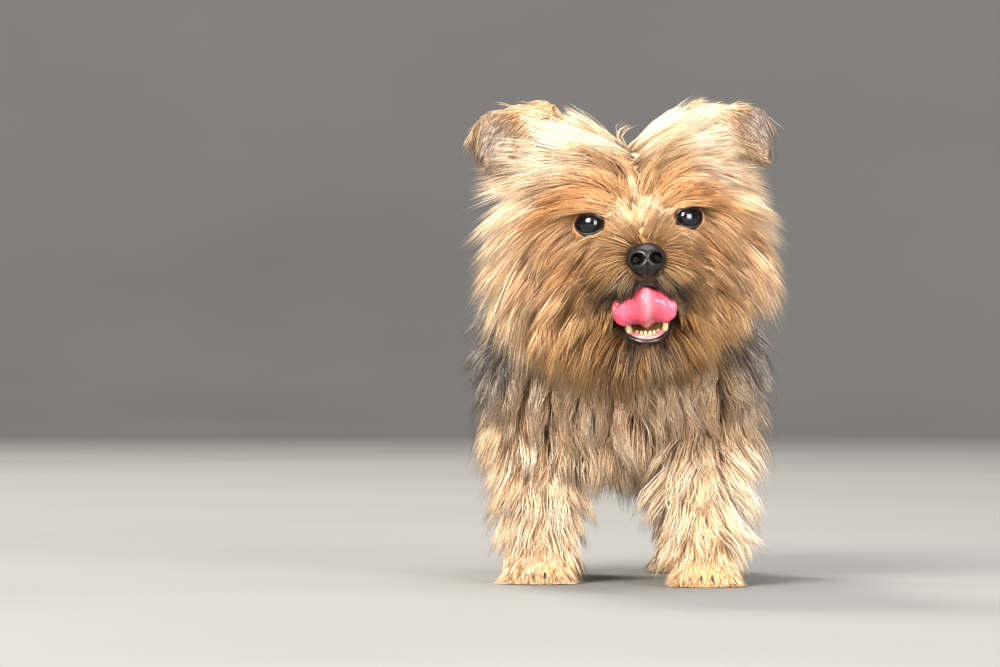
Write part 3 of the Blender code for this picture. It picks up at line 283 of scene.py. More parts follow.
BODY_LIES = [
    Lie((0, -66, 196), (0.2, 0.6, 0.2), 0.4, 34, 0.2),
    Lie((0, -20, 190), (0.35, 0.9, 0.0), 0.38, 34, 0.2),
    Lie((0, 50, 192), (0.3, 0.95, 0.0), 0.38, 34, 0.15),
    Lie((0, 110, 190), (0.25, 0.95, -0.1), 0.38, 34, 0.3),
    Lie((34, 0, 182), (0.7, 0.5, -0.5), 0.5, 46, 0.5),
    Lie((32, 80, 180), (0.6, 0.6, -0.5), 0.5, 44, 0.5),
    Lie((54, 0, 140), (0.1, 0.3, -1.0), 0.6, 54, 0.62, 0.36),
    Lie((50, 60, 145), (0.1, 0.4, -1.0), 0.6, 52, 0.62, 0.36),
    Lie((38, 20, 98), (0.05, 0.3, -1.0), 0.5, 50, 0.8),
    Lie((0, 20, 92), (0.1, 0.6, -0.6), 0.4, 34, 0.6),
    Lie((56, -44, 160), (0.2, 0.2, -1.0), 0.64, 50, 0.66, 0.4),
    Lie((60, -62, 128), (0.2, 0.0, -1.0), 0.6, 43, 0.66, 0.28),
    Lie((30, -94, 140), (0.35, -0.1, -1.0), 0.45, 32, 0.7, 0.2),
    Lie((0, -108, 136), (0.15, -0.1, -1.0), 0.42, 32, 0.75, 0.2),
    Lie((10, -84, 100), (0.1, 0.0, -1.0), 0.5, 62, 0.85, 0.2),
    Lie((10, -40, 88), (0.1, 0.3, -1.0), 0.45, 64, 0.9),
    Lie((30, -80, 176), (0.5, 0.1, -0.9), 0.45, 40, 0.5),
    Lie((60, 94, 130), (0.1, 0.4, -1.0), 0.55, 50, 0.65),
    Lie((20, 142, 150), (0.2, 0.3, -1.0), 0.5, 44, 0.8),
    Lie((54, -44, 96), (0.1, 0.2, -1.0), 0.64, 52, 0.6, 0.38),
    Lie((48, -66, 62), (0.1, 0.15, -1.0), 0.66, 46, 0.6, 0.36),
    Lie((48, -42, 60), (0.1, 0.15, -1.0), 0.58, 42, 0.65, 0.26),
    Lie((48, -44, 36), (0.1, 0.1, -1.0), 0.52, 34, 0.7, 0.18),
    Lie((48, -84, 38), (0.1, 0.1, -1.0), 0.64, 38, 0.65, 0.3),
    Lie((46, -100, 12), (0.0, -0.5, -0.8), 0.4, 8, 0.5),
    Lie((46, -60, 12), (0.0, -0.5, -0.8), 0.4, 8, 0.5),
    Lie((48, 84, 84), (0.0, 0.4, -1.0), 0.6, 44, 0.65),
    Lie((44, 108, 56), (0.0, 0.2, -1.0), 0.6, 34, 0.65),
    Lie((44, 100, 30), (0.0, 0.1, -1.0), 0.6, 28, 0.65),
    Lie((42, 116, 12), (0.0, -0.5, -0.8), 0.4, 9, 0.5),
    Lie((42, 72, 12), (0.0, -0.5, -0.8), 0.4, 9, 0.5),
    Lie((0, 158, 176), (0.1, 0.5, -0.9), 0.5, 32, 0.6),
    Lie((0, 162, 210), (0.1, 0.5, -0.5), 0.4, 22, 0.6),
    Lie((0, 158, 236), (0.1, 0.9, -0.4), 0.3, 16, 0.6),
]
# The mane hangs evenly round the neck while the face looks a little to the left, so it is longer on the
# right: by this share of its length, from this far off the middle
MANE_LEAN = 0.1
MANE_LEAN_REACH = 20.0

# Oval patches of the head's markings; some are painted shade under the jaw and painted light on the cheeks
HEAD_MARKINGS_AND_PAINTED_LIGHT = [
    Marking(Mask.PALE, (14, -10, 36), (30, 30, 16), 1.0),
    Marking(Mask.PALE, (18, -30, 24), (22, 18, 12), 0.95),
    Marking(Mask.PALE, (36, -6, 20), (14, 24, 14), 0.7),
    Marking(Mask.PALE, (4, -46, -8), (10, 14, 10), 0.7),
    Marking(Mask.PALE, (46, 4, 4), (15, 26, 24), 0.7),
    Marking(Mask.RUST, (28, -22, -42), (28, 30, 20), 0.35),
    # Painted shade: umber darkens the lower mane under the head
    Marking(Mask.UMBER, (24, -18, -56), (28, 28, 17), 0.62),
    Marking(Mask.PALE, (24, -44, -18), (12, 12, 7), 0.45),
    Marking(Mask.UMBER, (73, -8, 42), (14, 22, 22), 1.0),
    Marking(Mask.UMBER, (64, -12, 42), (12, 18, 16), 0.9),
    Marking(Mask.PALE, (48, -10, 44), (11, 14, 14), 0.9),
    Marking(Mask.RUST, (29, -38, -16), (9, 10, 7), 0.9),
    Marking(Mask.RUST, (22, -34, 8), (16, 13, 11), 1.0),
    Marking(Mask.RUST, (38, -28, -8), (7, 9, 9), 0.6),
    Marking(Mask.UMBER, (4, -36, 15), (5, 14, 14), 0.85),
    Marking(Mask.UMBER, (6, -57, -20), (9, 9, 7), 0.4),
    Marking(Mask.UMBER, (15, -48, -28), (16, 18, 13), 0.9),
    Marking(Mask.RUST, (18, -44, -20), (15, 16, 9), 0.5),
    # Painted shade: umber darkens the chin and the hair under the jaw
    Marking(Mask.UMBER, (12, -34, -66), (26, 22, 16), 0.95),
    Marking(Mask.STEEL, (74, -8, 42), (15, 24, 20), 0.85),
    Marking(Mask.BLACK, (0, -58, -40), (15, 10, 9), 1.0),
    Marking(Mask.BLACK, (8, -58, -38), (10, 8, 5), 1.0),
    Marking(Mask.BLACK, (13, -54, -36), (8, 10, 5), 0.85),
    Marking(Mask.BLACK, (20, -42, -46), (8, 16, 11), 0.95),
    Marking(Mask.UMBER, (0, -61, -19), (13, 7, 6), 0.9),
    Marking(Mask.BLACK, (0, -60, -34), (7, 10, 8), 1.0),
    Marking(Mask.BLACK, (9, -42, -70), (10, 5, 3.5), 0.9),
    # Painted shade: black darkens the chin further
    Marking(Mask.BLACK, (8, -40, -74), (16, 14, 9), 0.4),
    Marking(Mask.UMBER, (25.6, -36, -5.5), (12, 14, 9.5), 0.35),
    Marking(Mask.BLACK, (25.6, -35, -5.5), (11, 14, 8.5), 0.6),
    Marking(Mask.PALE, (34, 6, 48), (12, 16, 20), 0.9),
    # Painted light: pale lightens the cheeks against their own shade
    Marking(Mask.PALE, (38, -24, -18), (14, 18, 20), 0.68),
]
BODY_MARKINGS = [
    Marking(Mask.PALE, (14, -100, 118), (56, 36, 44), 0.62),
    Marking(Mask.PALE, (46, -70, 50), (32, 54, 60), 0.8),
    Marking(Mask.PALE, (44, 96, 40), (32, 54, 50), 0.75),
    Marking(Mask.PALE, (0, -40, 84), (60, 60, 30), 0.8),
]
# The steel saddle: its lower edge at each place along the body, how far it fades there, and where it begins
# and is full, from the chest back and from the middle out
SADDLE_EDGE = ((-120.0, 172.0), (-85.0, 128.0), (-60.0, 118.0), (0.0, 102.0), (90.0, 100.0), (150.0, 96.0))
SADDLE_FADE = 16.0
SADDLE_FRONT = (-92.0, -48.0)
SADDLE_SIDE = (30.0, 48.0)

# The cut between head and neck, and how far the colours blend across it
HEAD_CUT_PLACE = (3.0, -86.0, 196.0)
HEAD_CUT_WAY = (0.0, -0.86, 0.5)
HEAD_CUT_BLEND = 6.0
# Where the coat's regions meet: heights in the head's frame, then heights and a length in the dog's
CROWN_EDGE = 12.0
JAW_TOP = -42.0
FOOT_TOP = 24.0
LEG_TOP = 96.0
CHEST_BACK = -52.0
# A nearer lie weighs more, by this power of its distance and this much more
LIE_SHARPNESS = 3.0
LIE_REACH = 4.0


def unit(vectors: np.ndarray) -> np.ndarray:
    """The vectors along the last axis, at length 1."""
    return vectors / np.maximum(np.linalg.norm(vectors, axis=-1, keepdims=True), 1e-9)


def smooth_step(values: np.ndarray, low: float, high: float) -> np.ndarray:
    """A soft step from 0, where a value is low, to 1, where it is high."""
    share = np.clip((values - low) / (high - low), 0.0, 1.0)
    return share * share * (3.0 - 2.0 * share)


@dataclass(frozen=True)
class HeadFrame:
    """The head's own frame: its origin is the middle of the skull, and it faces -Y."""

    centre: tuple = HEAD_CENTRE
    roll_deg: float = HEAD_ROLL_DEG
    yaw_deg: float = HEAD_YAW_DEG

    def turn(self) -> np.ndarray:
        """The head's rotation, as a 3 by 3 matrix."""
        spin = Matrix.Rotation(math.radians(self.yaw_deg), 3, "Z")
        return np.array(spin @ Matrix.Rotation(math.radians(self.roll_deg), 3, "Y"))

    def to_dog(self, points: np.ndarray) -> np.ndarray:
        """Points of the head's frame, along the last axis, in the dog's."""
        return np.asarray(points, float) @ self.turn().T + np.array(self.centre)

    def to_head(self, points: np.ndarray) -> np.ndarray:
        """Points of the dog's frame, along the last axis, in the head's."""
        return (np.asarray(points, float) - np.array(self.centre)) @ self.turn()


HEAD = HeadFrame()


def both_sides(masses: Sequence[Mass]) -> list[Mass]:
    """The masses, each with its mirror image unless it lies on the middle line.

    Args:
        masses: The masses of the left half and of the middle.

    Returns:
        The masses of both halves.
    """
    made = []
    for mass in masses:
        made.append(mass)
        if mass.start[0] or mass.end[0]:
            start, end = ((-x, y, z) for x, y, z in (mass.start, mass.end))
            made.append(mass._replace(start=start, end=end))
    return made


def leg_masses(leg: Leg) -> list[Mass]:
    """One leg's masses, with the paw and its four toes.

    Args:
        leg: The leg's joints, radii and paw.

    Returns:
        The masses.
    """
    pairs = zip(leg.joints, leg.joints[1:], leg.radii, leg.radii[1:])
    made = [Mass(a, b, ra, rb) for a, b, ra, rb in pairs]
    x, y, z = leg.paw
    made.append(Mass(leg.joints[-1], (x, y + PAW_HEEL[0], z + PAW_HEEL[1]), leg.radii[-1], PAW_RADIUS))
    inset, drop, radius = TOE_ROOT
    for side, reach in TOES:
        tip = (x + side, y - reach, z - TOE_DROP)
        made.append(Mass((x + side * inset, y, z + drop), tip, radius, TOE_RADIUS))
    return made


@dataclass
class Flesh:
    """The body under the coat, as tapered masses that blend into one smooth form."""

    grid_step: float = 3.5
    grid_low: tuple = (-112.0, -205.0, -14.0)
    grid_high: tuple = (112.0, 190.0, 290.0)
    masses: list = field(default_factory=list)
    grid: Optional[np.ndarray] = None

    def __post_init__(self) -> None:
        """Gathers the masses of the head, body, tail and legs in the dog's frame."""
        for mass in both_sides(HEAD_MASSES + JAW_MASSES):
            start, end = HEAD.to_dog(mass.start), HEAD.to_dog(mass.end)
            self.masses.append(mass._replace(start=tuple(start), end=tuple(end)))
        self.masses += BODY_MASSES + both_sides(PAIRED_MASSES) + TAIL_MASSES
        for leg in LEGS.values():
            self.masses += leg_masses(leg)

    def distance(self, points: np.ndarray) -> np.ndarray:
        """Distance of points from the skin.

        Args:
            points: Points in mm.

        Returns:
            The distance in mm, below 0 inside.
        """
        total = np.zeros(len(points))
        for mass in self.masses:
            squeeze = np.array([1 / mass.wide, 1.0, 1 / mass.tall])
            offset = (points - np.array(mass.start)) * squeeze
            axis = (np.array(mass.end, float) - np.array(mass.start)) * squeeze
            along = np.clip(offset @ axis / max(axis @ axis, 1e-6), 0, 1)
            radius = mass.r_start + (mass.r_end - mass.r_start) * along
            apart = np.linalg.norm(offset - along[:, None] * axis, axis=1) - radius
            total += np.exp(-np.clip(apart, -60, 60) / BLEND)
        return -BLEND * np.log(total)

    def normals(self, points: np.ndarray) -> np.ndarray:
        """The direction out of the skin.

        Args:
            points: Points in mm.

        Returns:
            Unit vectors.
        """
        steps = 0.5 * np.eye(3)
        slopes = [self.distance(points + step) - self.distance(points - step) for step in steps]
        return unit(np.stack(slopes, axis=1))

    def sampled(self, points: np.ndarray) -> tuple[np.ndarray, np.ndarray]:
        """Distance and outward direction, read quickly from a grid.

        Args:
            points: Points in mm.

        Returns:
            The distance and the unit direction at each point.
        """
        low, high = np.array(self.grid_low), np.array(self.grid_high)
        if self.grid is None:
            axes = [np.arange(a, b, self.grid_step) for a, b in zip(low, high)]
            mesh = np.stack(np.meshgrid(*axes, indexing="ij"), axis=-1)
            values = self.distance(mesh.reshape(-1, 3)).reshape(mesh.shape[:3])
            slopes = np.gradient(values, self.grid_step)
            self.grid = np.stack([values, *slopes], axis=-1)
        shape = np.array(self.grid.shape[:3])
        cell = np.clip((points - low) / self.grid_step, 0, shape - 1.001)
        base = cell.astype(int)
        part = cell - base
        total = np.zeros((len(points), 4))
        for corner in range(8):
            bits = np.array([(corner >> axis) & 1 for axis in range(3)])
            weight = np.prod(np.where(bits, part, 1 - part), axis=1)
            index = base + bits
            total += weight[:, None] * self.grid[index[:, 0], index[:, 1], index[:, 2]]
        return total[:, 0], unit(total[:, 1:])


@dataclass
class Frame:
    """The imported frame: where the dog's own frame lies in it."""

    shift: np.ndarray = field(default_factory=lambda: np.zeros(3))

    def measure(self) -> None:
        """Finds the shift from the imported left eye, whose place the table gives."""
        low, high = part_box("eye_left")
        middle = np.array((low + high) / 2) / MM
        self.shift = middle - HEAD.to_dog(np.array(EYE_PLACE))
        self.shift[2] = 0.0

    def metres(self, points: np.ndarray) -> np.ndarray:
        """Points of the dog's frame, in mm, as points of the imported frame, in metres."""
        return (np.asarray(points, float) + self.shift) * MM

    def dog(self, places: np.ndarray) -> np.ndarray:
        """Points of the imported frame, in metres, as points of the dog's frame, in mm."""
        return places / MM - self.shift


FRAME = Frame()


def new_object(name: str, data: bpy.types.ID) -> bpy.types.Object:
    """A mesh, light or camera as an object in the scene.

    Args:
        name: The object's name.
        data: Its data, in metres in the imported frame.

    Returns:
        The object.
    """
    made = bpy.data.objects.new(name, data)
    bpy.context.scene.collection.objects.link(made)
    return made


def publish(
    obj: bpy.types.Object, finish: bpy.types.Material, nodes: Sequence[str] = ()
) -> bpy.types.Object:
    """Gives a piece its finish, ties it to the frame and reports it.

    Args:
        obj: The piece.
        finish: Its material.
        nodes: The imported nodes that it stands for.

    Returns:
        The same piece.
    """
    if not obj.data.materials:
        obj.data.materials.append(finish)
    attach(obj, BODY)
    if nodes:
        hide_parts(*nodes)
    LOG.info("%s: %d faces", obj.name, len(obj.data.polygons))
    return obj


def smooth_faces(mesh: bpy.types.Mesh) -> None:
    """Shades every face of a mesh smoothly."""
    mesh.polygons.foreach_set("use_smooth", np.ones(len(mesh.polygons), bool))


def from_bmesh(name: str, built: bmesh.types.BMesh) -> bpy.types.Object:
    """A smooth object from a bmesh in the dog's frame.

    Args:
        name: The name of the piece.
        built: The bmesh in mm, which is freed.

    Returns:
        The object.
    """
    bmesh.ops.recalc_face_normals(built, faces=built.faces)
    mesh = bpy.data.meshes.new(name)
    built.to_mesh(mesh)
    built.free()
    points = points_of(mesh)
    mesh.vertices.foreach_set("co", FRAME.metres(points).ravel())
    smooth_faces(mesh)
    mesh.update()
    return new_object(name, mesh)


def points_of(mesh: bpy.types.Mesh) -> np.ndarray:
    """The places of a mesh's vertices.

    Args:
        mesh: The mesh.

    Returns:
        One row of three numbers a vertex.
    """
    places = np.empty(len(mesh.vertices) * 3)
    mesh.vertices.foreach_get("co", places)
    return places.reshape(-1, 3)


def joined(name: str, parts: Sequence[bmesh.types.BMesh]) -> bpy.types.Object:
    """Several bmeshes as one smooth object.

    Args:
        name: The name of the piece.
        parts: The bmeshes in mm in the dog's frame, which are freed.

    Returns:
        The object.
    """
    whole = bmesh.new()
    for part in parts:
        mesh = bpy.data.meshes.new(name)
        part.to_mesh(mesh)
        part.free()
        whole.from_mesh(mesh)
        bpy.data.meshes.remove(mesh)
    return from_bmesh(name, whole)


def sphere(segments: int, rings: int, radius: float) -> tuple[bmesh.types.BMesh, np.ndarray]:
    """A sphere whose poles lie along Y.

    Args:
        segments: How many segments it has round its poles.
        rings: How many rings it has from pole to pole.
        radius: Its radius.

    Returns:
        The bmesh, and the places of its vertices.
    """
    built = bmesh.new()
    bmesh.ops.create_uvsphere(built, u_segments=segments, v_segments=rings, radius=radius)
    bmesh.ops.rotate(built, verts=built.verts, matrix=Matrix.Rotation(math.radians(90), 3, "X"))
    return built, np.array([vert.co[:] for vert in built.verts])


def move_vertices(built: bmesh.types.BMesh, places: np.ndarray) -> None:
    """Puts each vertex of a bmesh at its row of places."""
    for vert, place in zip(built.verts, places):
        vert.co = Vector(place)


def angles_round(count: int) -> np.ndarray:
    """Evenly spaced angles once round a ring."""
    return np.linspace(0, 2 * math.pi, count, endpoint=False)


def resampled(stations: np.ndarray, count: int) -> np.ndarray:
    """Rows of numbers along a smooth curve through stations.

    Args:
        stations: One row a station.
        count: How many rows to make.

    Returns:
        The rows, evenly spaced from the first station to the last.
    """
    rows = np.vstack([2 * stations[0] - stations[1], stations, 2 * stations[-1] - stations[-2]])
    places = np.linspace(0, len(stations) - 1 - 1e-6, count)
    made = []
    for place in places:
        i = int(place)
        t = place - i
        a, b, c, d = rows[i : i + 4]
        made.append(
            0.5 * (2 * b + (c - a) * t + (2 * a - 5 * b + 4 * c - d) * t**2 + (3 * b - a - 3 * c + d) * t**3)
        )
    return np.array(made)


def swept(rings: np.ndarray, caps: bool = True) -> bmesh.types.BMesh:
    """A tube through rings of points, bent from a grid and welded along its seam.

    Args:
        rings: Rings by points by three, in mm.
        caps: Whether the two ends are closed.

    Returns:
        The bmesh.
    """
    count, around = rings.shape[:2]
    built = bmesh.new()
    bmesh.ops.create_grid(built, x_segments=around, y_segments=count - 1, size=1.0)
    built.verts.ensure_lookup_table()
    for vert in built.verts:
        column = round((vert.co.x + 1) / 2 * around) % around
        row = round((vert.co.y + 1) / 2 * (count - 1))
        vert.co = Vector(rings[row, column])
    bmesh.ops.remove_doubles(built, verts=built.verts, dist=1e-4)
    if caps:
        open_edges = [edge for edge in built.edges if len(edge.link_faces) == 1]
        bmesh.ops.holes_fill(built, edges=open_edges, sides=0)
    return built


def evaluated(obj: bpy.types.Object) -> None:
    """Applies an object's modifiers.

    Args:
        obj: The object.
    """
    bpy.context.view_layer.update()
    graph = bpy.context.evaluated_depsgraph_get()
    mesh = bpy.data.meshes.new_from_object(obj.evaluated_get(graph))
    obj.modifiers.clear()
    obj.data = mesh


def boolean(obj: bpy.types.Object, operation: str, other: bpy.types.Object) -> None:
    """One Boolean with another object, which is then removed.

    Args:
        obj: The object that is changed.
        operation: UNION or DIFFERENCE.
        other: The other object.
    """
    change = obj.modifiers.new("change", "BOOLEAN")
    change.operation = operation
    change.solver = "MANIFOLD"
    change.object = other
    evaluated(obj)
    bpy.data.objects.remove(other)


@dataclass(frozen=True)
class Coat:
    """How the hair leaves the skin, bends and how long it is, over the whole body."""

    parting: float = 5.0
    least_aside: float = 0.45

    def _by(self, lies: list[Lie], points: np.ndarray, normals: np.ndarray, sway: np.ndarray) -> tuple:
        """The coat's launch, hang and length from one table of lies.

        Args:
            lies: The table.
            points: Points in the table's frame.
            normals: The skin's normals there, in the same frame.
            sway: How far to the side the parting lies for each point, in mm.

        Returns:
            Launch directions, directions at the tips, and lengths in mm.
        """
        side = np.where(points[:, 0] < 0, -1.0, 1.0)
        own = points.copy()
        own[:, 0] *= side
        apart = np.linalg.norm(own[:, None] - np.array([lie.place for lie in lies], float), axis=2)
        weights = 1 / (apart + LIE_REACH) ** LIE_SHARPNESS
        weights /= weights.sum(axis=1)[:, None]
        flow = weights @ unit(np.array([lie.flow for lie in lies], float))
        aside = np.clip((points[:, 0] + sway) / self.parting, -1, 1)
        flow[:, 0] *= np.copysign(np.maximum(np.abs(aside), self.least_aside), aside)
        lift, fall, puff, length = (
            weights @ np.array([float(getattr(lie, key)) for lie in lies])
            for key in ("lift", "fall", "puff", "length")
        )
        lift, fall, puff = lift[:, None], fall[:, None], puff[:, None]
        along = unit(flow - (flow * normals).sum(axis=1)[:, None] * normals)
        launch = unit(lift * normals + np.sqrt(1 - lift**2) * along)
        hang = unit(along * (1 - fall) + DOWN * fall + puff * normals)
        return launch, hang, length

    def at(self, points: np.ndarray, normals: np.ndarray, sway: np.ndarray) -> tuple:
        """The coat's launch, hang and length at points of the skin.

        Args:
            points: Points in the dog's frame.
            normals: The skin's normals there.
            sway: How far to the side the parting lies for each point, in mm.

        Returns:
            Launch directions, directions at the tips, and lengths in mm.
        """
        launch, hang, length = self._by(BODY_LIES, points, normals, sway)
        head = on_head(points)
        if head.any():
            turn = HEAD.turn()
            own = self._by(HEAD_LIES, HEAD.to_head(points[head]), normals[head] @ turn, sway[head])
            launch[head] = own[0] @ turn.T
            hang[head] = own[1] @ turn.T
            length[head] = own[2] * (1 - MANE_LEAN * np.clip(points[head, 0] / MANE_LEAN_REACH, -1, 1))
        return launch, hang, length


def ahead_of_neck(points: np.ndarray) -> np.ndarray:
    """How far points lie forward of the cut between head and neck, in mm."""
    return (points - np.array(HEAD_CUT_PLACE)) @ np.array(HEAD_CUT_WAY)


def on_head(points: np.ndarray) -> np.ndarray:
    """Tells the head from the body."""
    return ahead_of_neck(points) > 0


class Markings:
    """The coat's colours as masks, the same for the skin and the hair, with painted shade and light on the
    head.
    """

    @staticmethod
    def _patches(points: np.ndarray, table: list[Marking], mask: Mask) -> np.ndarray:
        """One mask from a table of oval patches, on both sides.

        Args:
            points: Points in the table's frame.
            table: The patches.
            mask: The mask to add up.

        Returns:
            0 to 1 at each point.
        """
        own = points * np.stack([np.sign(points[:, 0])] + [np.ones(len(points))] * 2, axis=1)
        left = np.ones(len(points))
        for patch in table:
            if patch.mask is mask:
                offset = (own - np.array(patch.place)) / np.array(patch.radii)
                left *= 1 - patch.strength * np.exp(-((offset**2).sum(axis=1)))
        return 1 - left

    def at(self, points: np.ndarray) -> dict[Mask, np.ndarray]:
        """Every mask at points of the skin.

        Args:
            points: Points in the dog's frame.

        Returns:
            The masks, 0 to 1.
        """
        head = smooth_step(ahead_of_neck(points), -HEAD_CUT_BLEND, HEAD_CUT_BLEND)
        own = HEAD.to_head(points)
        made = {}
        for mask in Mask:
            front = self._patches(own, HEAD_MARKINGS_AND_PAINTED_LIGHT, mask)
            rear = self._patches(points, BODY_MARKINGS, mask)
            made[mask] = head * front + (1 - head) * rear
        edge = np.interp(points[:, 1], *np.transpose(SADDLE_EDGE))
        above = smooth_step(points[:, 2] - edge, -SADDLE_FADE, SADDLE_FADE)
        behind = smooth_step(points[:, 1], *SADDLE_FRONT)
        outside = smooth_step(np.abs(points[:, 0]), *SADDLE_SIDE)
        saddle = (1 - head) * above * np.maximum(behind, outside)
        made[Mask.STEEL] = np.maximum(made[Mask.STEEL], saddle)
        return made

    def write(self, mesh: bpy.types.Mesh, points: np.ndarray, repeat: int = 1) -> None:
        """Stores the masks of points as attributes of a mesh, each for so many vertices in turn."""
        for mask, values in self.at(points).items():
            write_attribute(mesh, mask.value, np.repeat(values, repeat))


def write_attribute(mesh: bpy.types.Mesh, name: str, values: np.ndarray) -> None:
    """Stores one number for each vertex under a name."""
    attribute = mesh.attributes.new(name, "FLOAT", "POINT")
    attribute.data.foreach_set("value", values.astype(np.float32))


class Graph:
    """Short ways to add and join the nodes of one material."""

    def __init__(self, name: str) -> None:
        """Starts a material with one shader.

        Args:
            name: The material's name.
        """
        self.material = bpy.data.materials.new(name)
        self.material.use_nodes = True
        self.tree = self.material.node_tree
        self.shader = self.tree.nodes["Principled BSDF"]

    def add(self, kind: str, inputs: Optional[dict] = None, **settings: object) -> bpy.types.Node:
        """A node with its inputs joined or set.

        Args:
            kind: The node's type.
            inputs: Sockets or values by the input's name or number.
            **settings: The node's own properties.

        Returns:
            The node.
        """
        node = self.tree.nodes.new(kind)
        for key, value in settings.items():
            setattr(node, key, value)
        for key, value in (inputs or {}).items():
            if isinstance(value, bpy.types.NodeSocket):
                self.tree.links.new(value, node.inputs[key])
            else:
                node.inputs[key].default_value = value
        return node

    def attribute(self, name: str) -> bpy.types.NodeSocket:
        """One number stored on the mesh."""
        return self.add("ShaderNodeAttribute", attribute_name=name).outputs["Fac"]

    def ramp(self, factor: bpy.types.NodeSocket, stops: Stops) -> bpy.types.NodeSocket:
        """Colours along a factor.

        Args:
            factor: The factor.
            stops: Places and colours.

        Returns:
            The colour.
        """
        node = self.add("ShaderNodeValToRGB", {"Fac": factor})
        elements = node.color_ramp.elements
        while len(elements) < len(stops):
            elements.new(0.5)
        for element, (place, colour) in zip(elements, stops):
            element.position = place
            element.color = (*colour, 1.0)
        return node.outputs["Color"]

    def mix(self, factor: Value, first: Value, second: Value, blend: str = "MIX") -> bpy.types.NodeSocket:
        """Two colours mixed, with so much of the second as the factor says."""
        inputs = {"Factor": factor, 6: first, 7: second}
        return self.add("ShaderNodeMix", inputs, data_type="RGBA", blend_type=blend).outputs[2]

    def math(self, operation: str, first: Value, second: Value = 0.0) -> bpy.types.NodeSocket:
        """One sum of two numbers."""
        return self.add("ShaderNodeMath", {0: first, 1: second}, operation=operation).outputs[0]

    def place(self) -> bpy.types.NodeSocket:
        """The place on the object."""
        return self.add("ShaderNodeTexCoord").outputs["Object"]

    def noise(self, scale: float, detail: float = 3.0) -> bpy.types.NodeSocket:
        """A soft noise in object coordinates, at a scale per metre."""
        inputs = {"Vector": self.place(), "Scale": scale, "Detail": detail}
        return self.add("ShaderNodeTexNoise", inputs).outputs["Fac"]

    def bump(self, height: bpy.types.NodeSocket, strength: float, depth: float) -> None:
        """Bump on the shader.

        Args:
            height: The height.
            strength: The strength.
            depth: The depth in metres.
        """
        inputs = {"Height": height, "Strength": strength, "Distance": depth}
        node = self.add("ShaderNodeBump", inputs)
        self.tree.links.new(node.outputs["Normal"], self.shader.inputs["Normal"])

    def colour(self, socket: bpy.types.NodeSocket) -> None:
        """Joins the base colour."""
        self.tree.links.new(socket, self.shader.inputs["Base Color"])

    def set(self, **values: float) -> None:
        """Sets values of the shader's own sockets, named with underscores for spaces."""
        for key, value in values.items():
            self.shader.inputs[key.replace("_", " ")].default_value = value


@dataclass(frozen=True)
class HairFinish:
    """The finish of the coat and of the skin under it, from the markings, with painted shade at the roots.
    """

    gold: Stops = (
        (0.0, (0.46, 0.20, 0.055)),
        (0.35, (0.82, 0.46, 0.175)),
        (0.8, (0.95, 0.67, 0.35)),
        (1.0, (0.98, 0.83, 0.58)),
    )
    pale: Stops = (
        (0.0, (0.58, 0.38, 0.22)),
        (0.3, (0.86, 0.68, 0.48)),
        (0.75, (0.97, 0.86, 0.70)),
        (1.0, (1.0, 0.95, 0.88)),
    )
    rust: Stops = ((0.0, (0.42, 0.14, 0.03)), (0.6, (0.78, 0.34, 0.10)), (1.0, (0.90, 0.52, 0.21)))
    umber: Stops = ((0.0, (0.07, 0.03, 0.008)), (0.6, (0.25, 0.12, 0.035)), (1.0, (0.47, 0.27, 0.10)))
    steel: Stops = ((0.0, (0.06, 0.056, 0.055)), (0.5, (0.21, 0.19, 0.18)), (1.0, (0.58, 0.53, 0.48)))
    black: Stops = ((0.0, (0.004, 0.0035, 0.003)), (0.7, (0.02, 0.013, 0.01)), (1.0, (0.12, 0.06, 0.03)))
    # Painted shade: each strand darkens towards its root, where the coat shades it
    root_painted_shade: Stops = ((0.0, (0.48, 0.41, 0.36)), (0.35, (0.93, 0.9, 0.87)), (1.0, (1.0, 1.0, 1.0)))
    fleck: Stops = ((0.3, (0.86, 0.84, 0.82)), (0.7, (1.06, 1.06, 1.06)))
    # Painted shade: the skin keeps to the darker part of each colour, for the shade between the strands
    skin_painted_shade_tone: float = 0.45

    def _marked(self, graph: Graph, tone: bpy.types.NodeSocket) -> bpy.types.NodeSocket:
        """The markings' colour at a tone.

        Args:
            graph: The material's graph.
            tone: 0 to 1, dark to light.

        Returns:
            The colour.
        """
        made = graph.ramp(tone, self.gold)
        order = ((Mask.PALE, self.pale), (Mask.RUST, self.rust), (Mask.UMBER, self.umber))
        order += ((Mask.STEEL, self.steel), (Mask.BLACK, self.black))
        for mask, stops in order:
            made = graph.mix(graph.attribute(mask.value), made, graph.ramp(tone, stops))
        return made

    def hair(self) -> bpy.types.Material:
        """The strands' material, darker towards each root as painted shade.

        Returns:
            The material.
        """
        graph = Graph("silky_hair")
        made = self._marked(graph, graph.attribute("tone"))
        shade = graph.ramp(graph.attribute("along"), self.root_painted_shade)
        fleck = graph.ramp(graph.noise(900.0, 2.0), self.fleck)
        for layer in (shade, fleck):
            made = graph.mix(1.0, made, layer, "MULTIPLY")
        graph.colour(made)
        graph.set(Roughness=0.42, Specular_IOR_Level=0.38, Sheen_Weight=0.05, Sheen_Roughness=0.4)
        return graph.material

    def skin(self) -> bpy.types.Material:
        """The material of the short undercoat on the skin, kept dark as painted shade between the strands.

        Returns:
            The material.
        """
        graph = Graph("undercoat_and_painted_shade")
        tone = graph.math("MULTIPLY", graph.noise(700.0, 5.0), self.skin_painted_shade_tone)
        graph.colour(self._marked(graph, tone))
        graph.bump(graph.noise(1400.0, 4.0), 0.8, 0.0006)
        graph.set(Roughness=0.75, Specular_IOR_Level=0.2)
        return graph.material


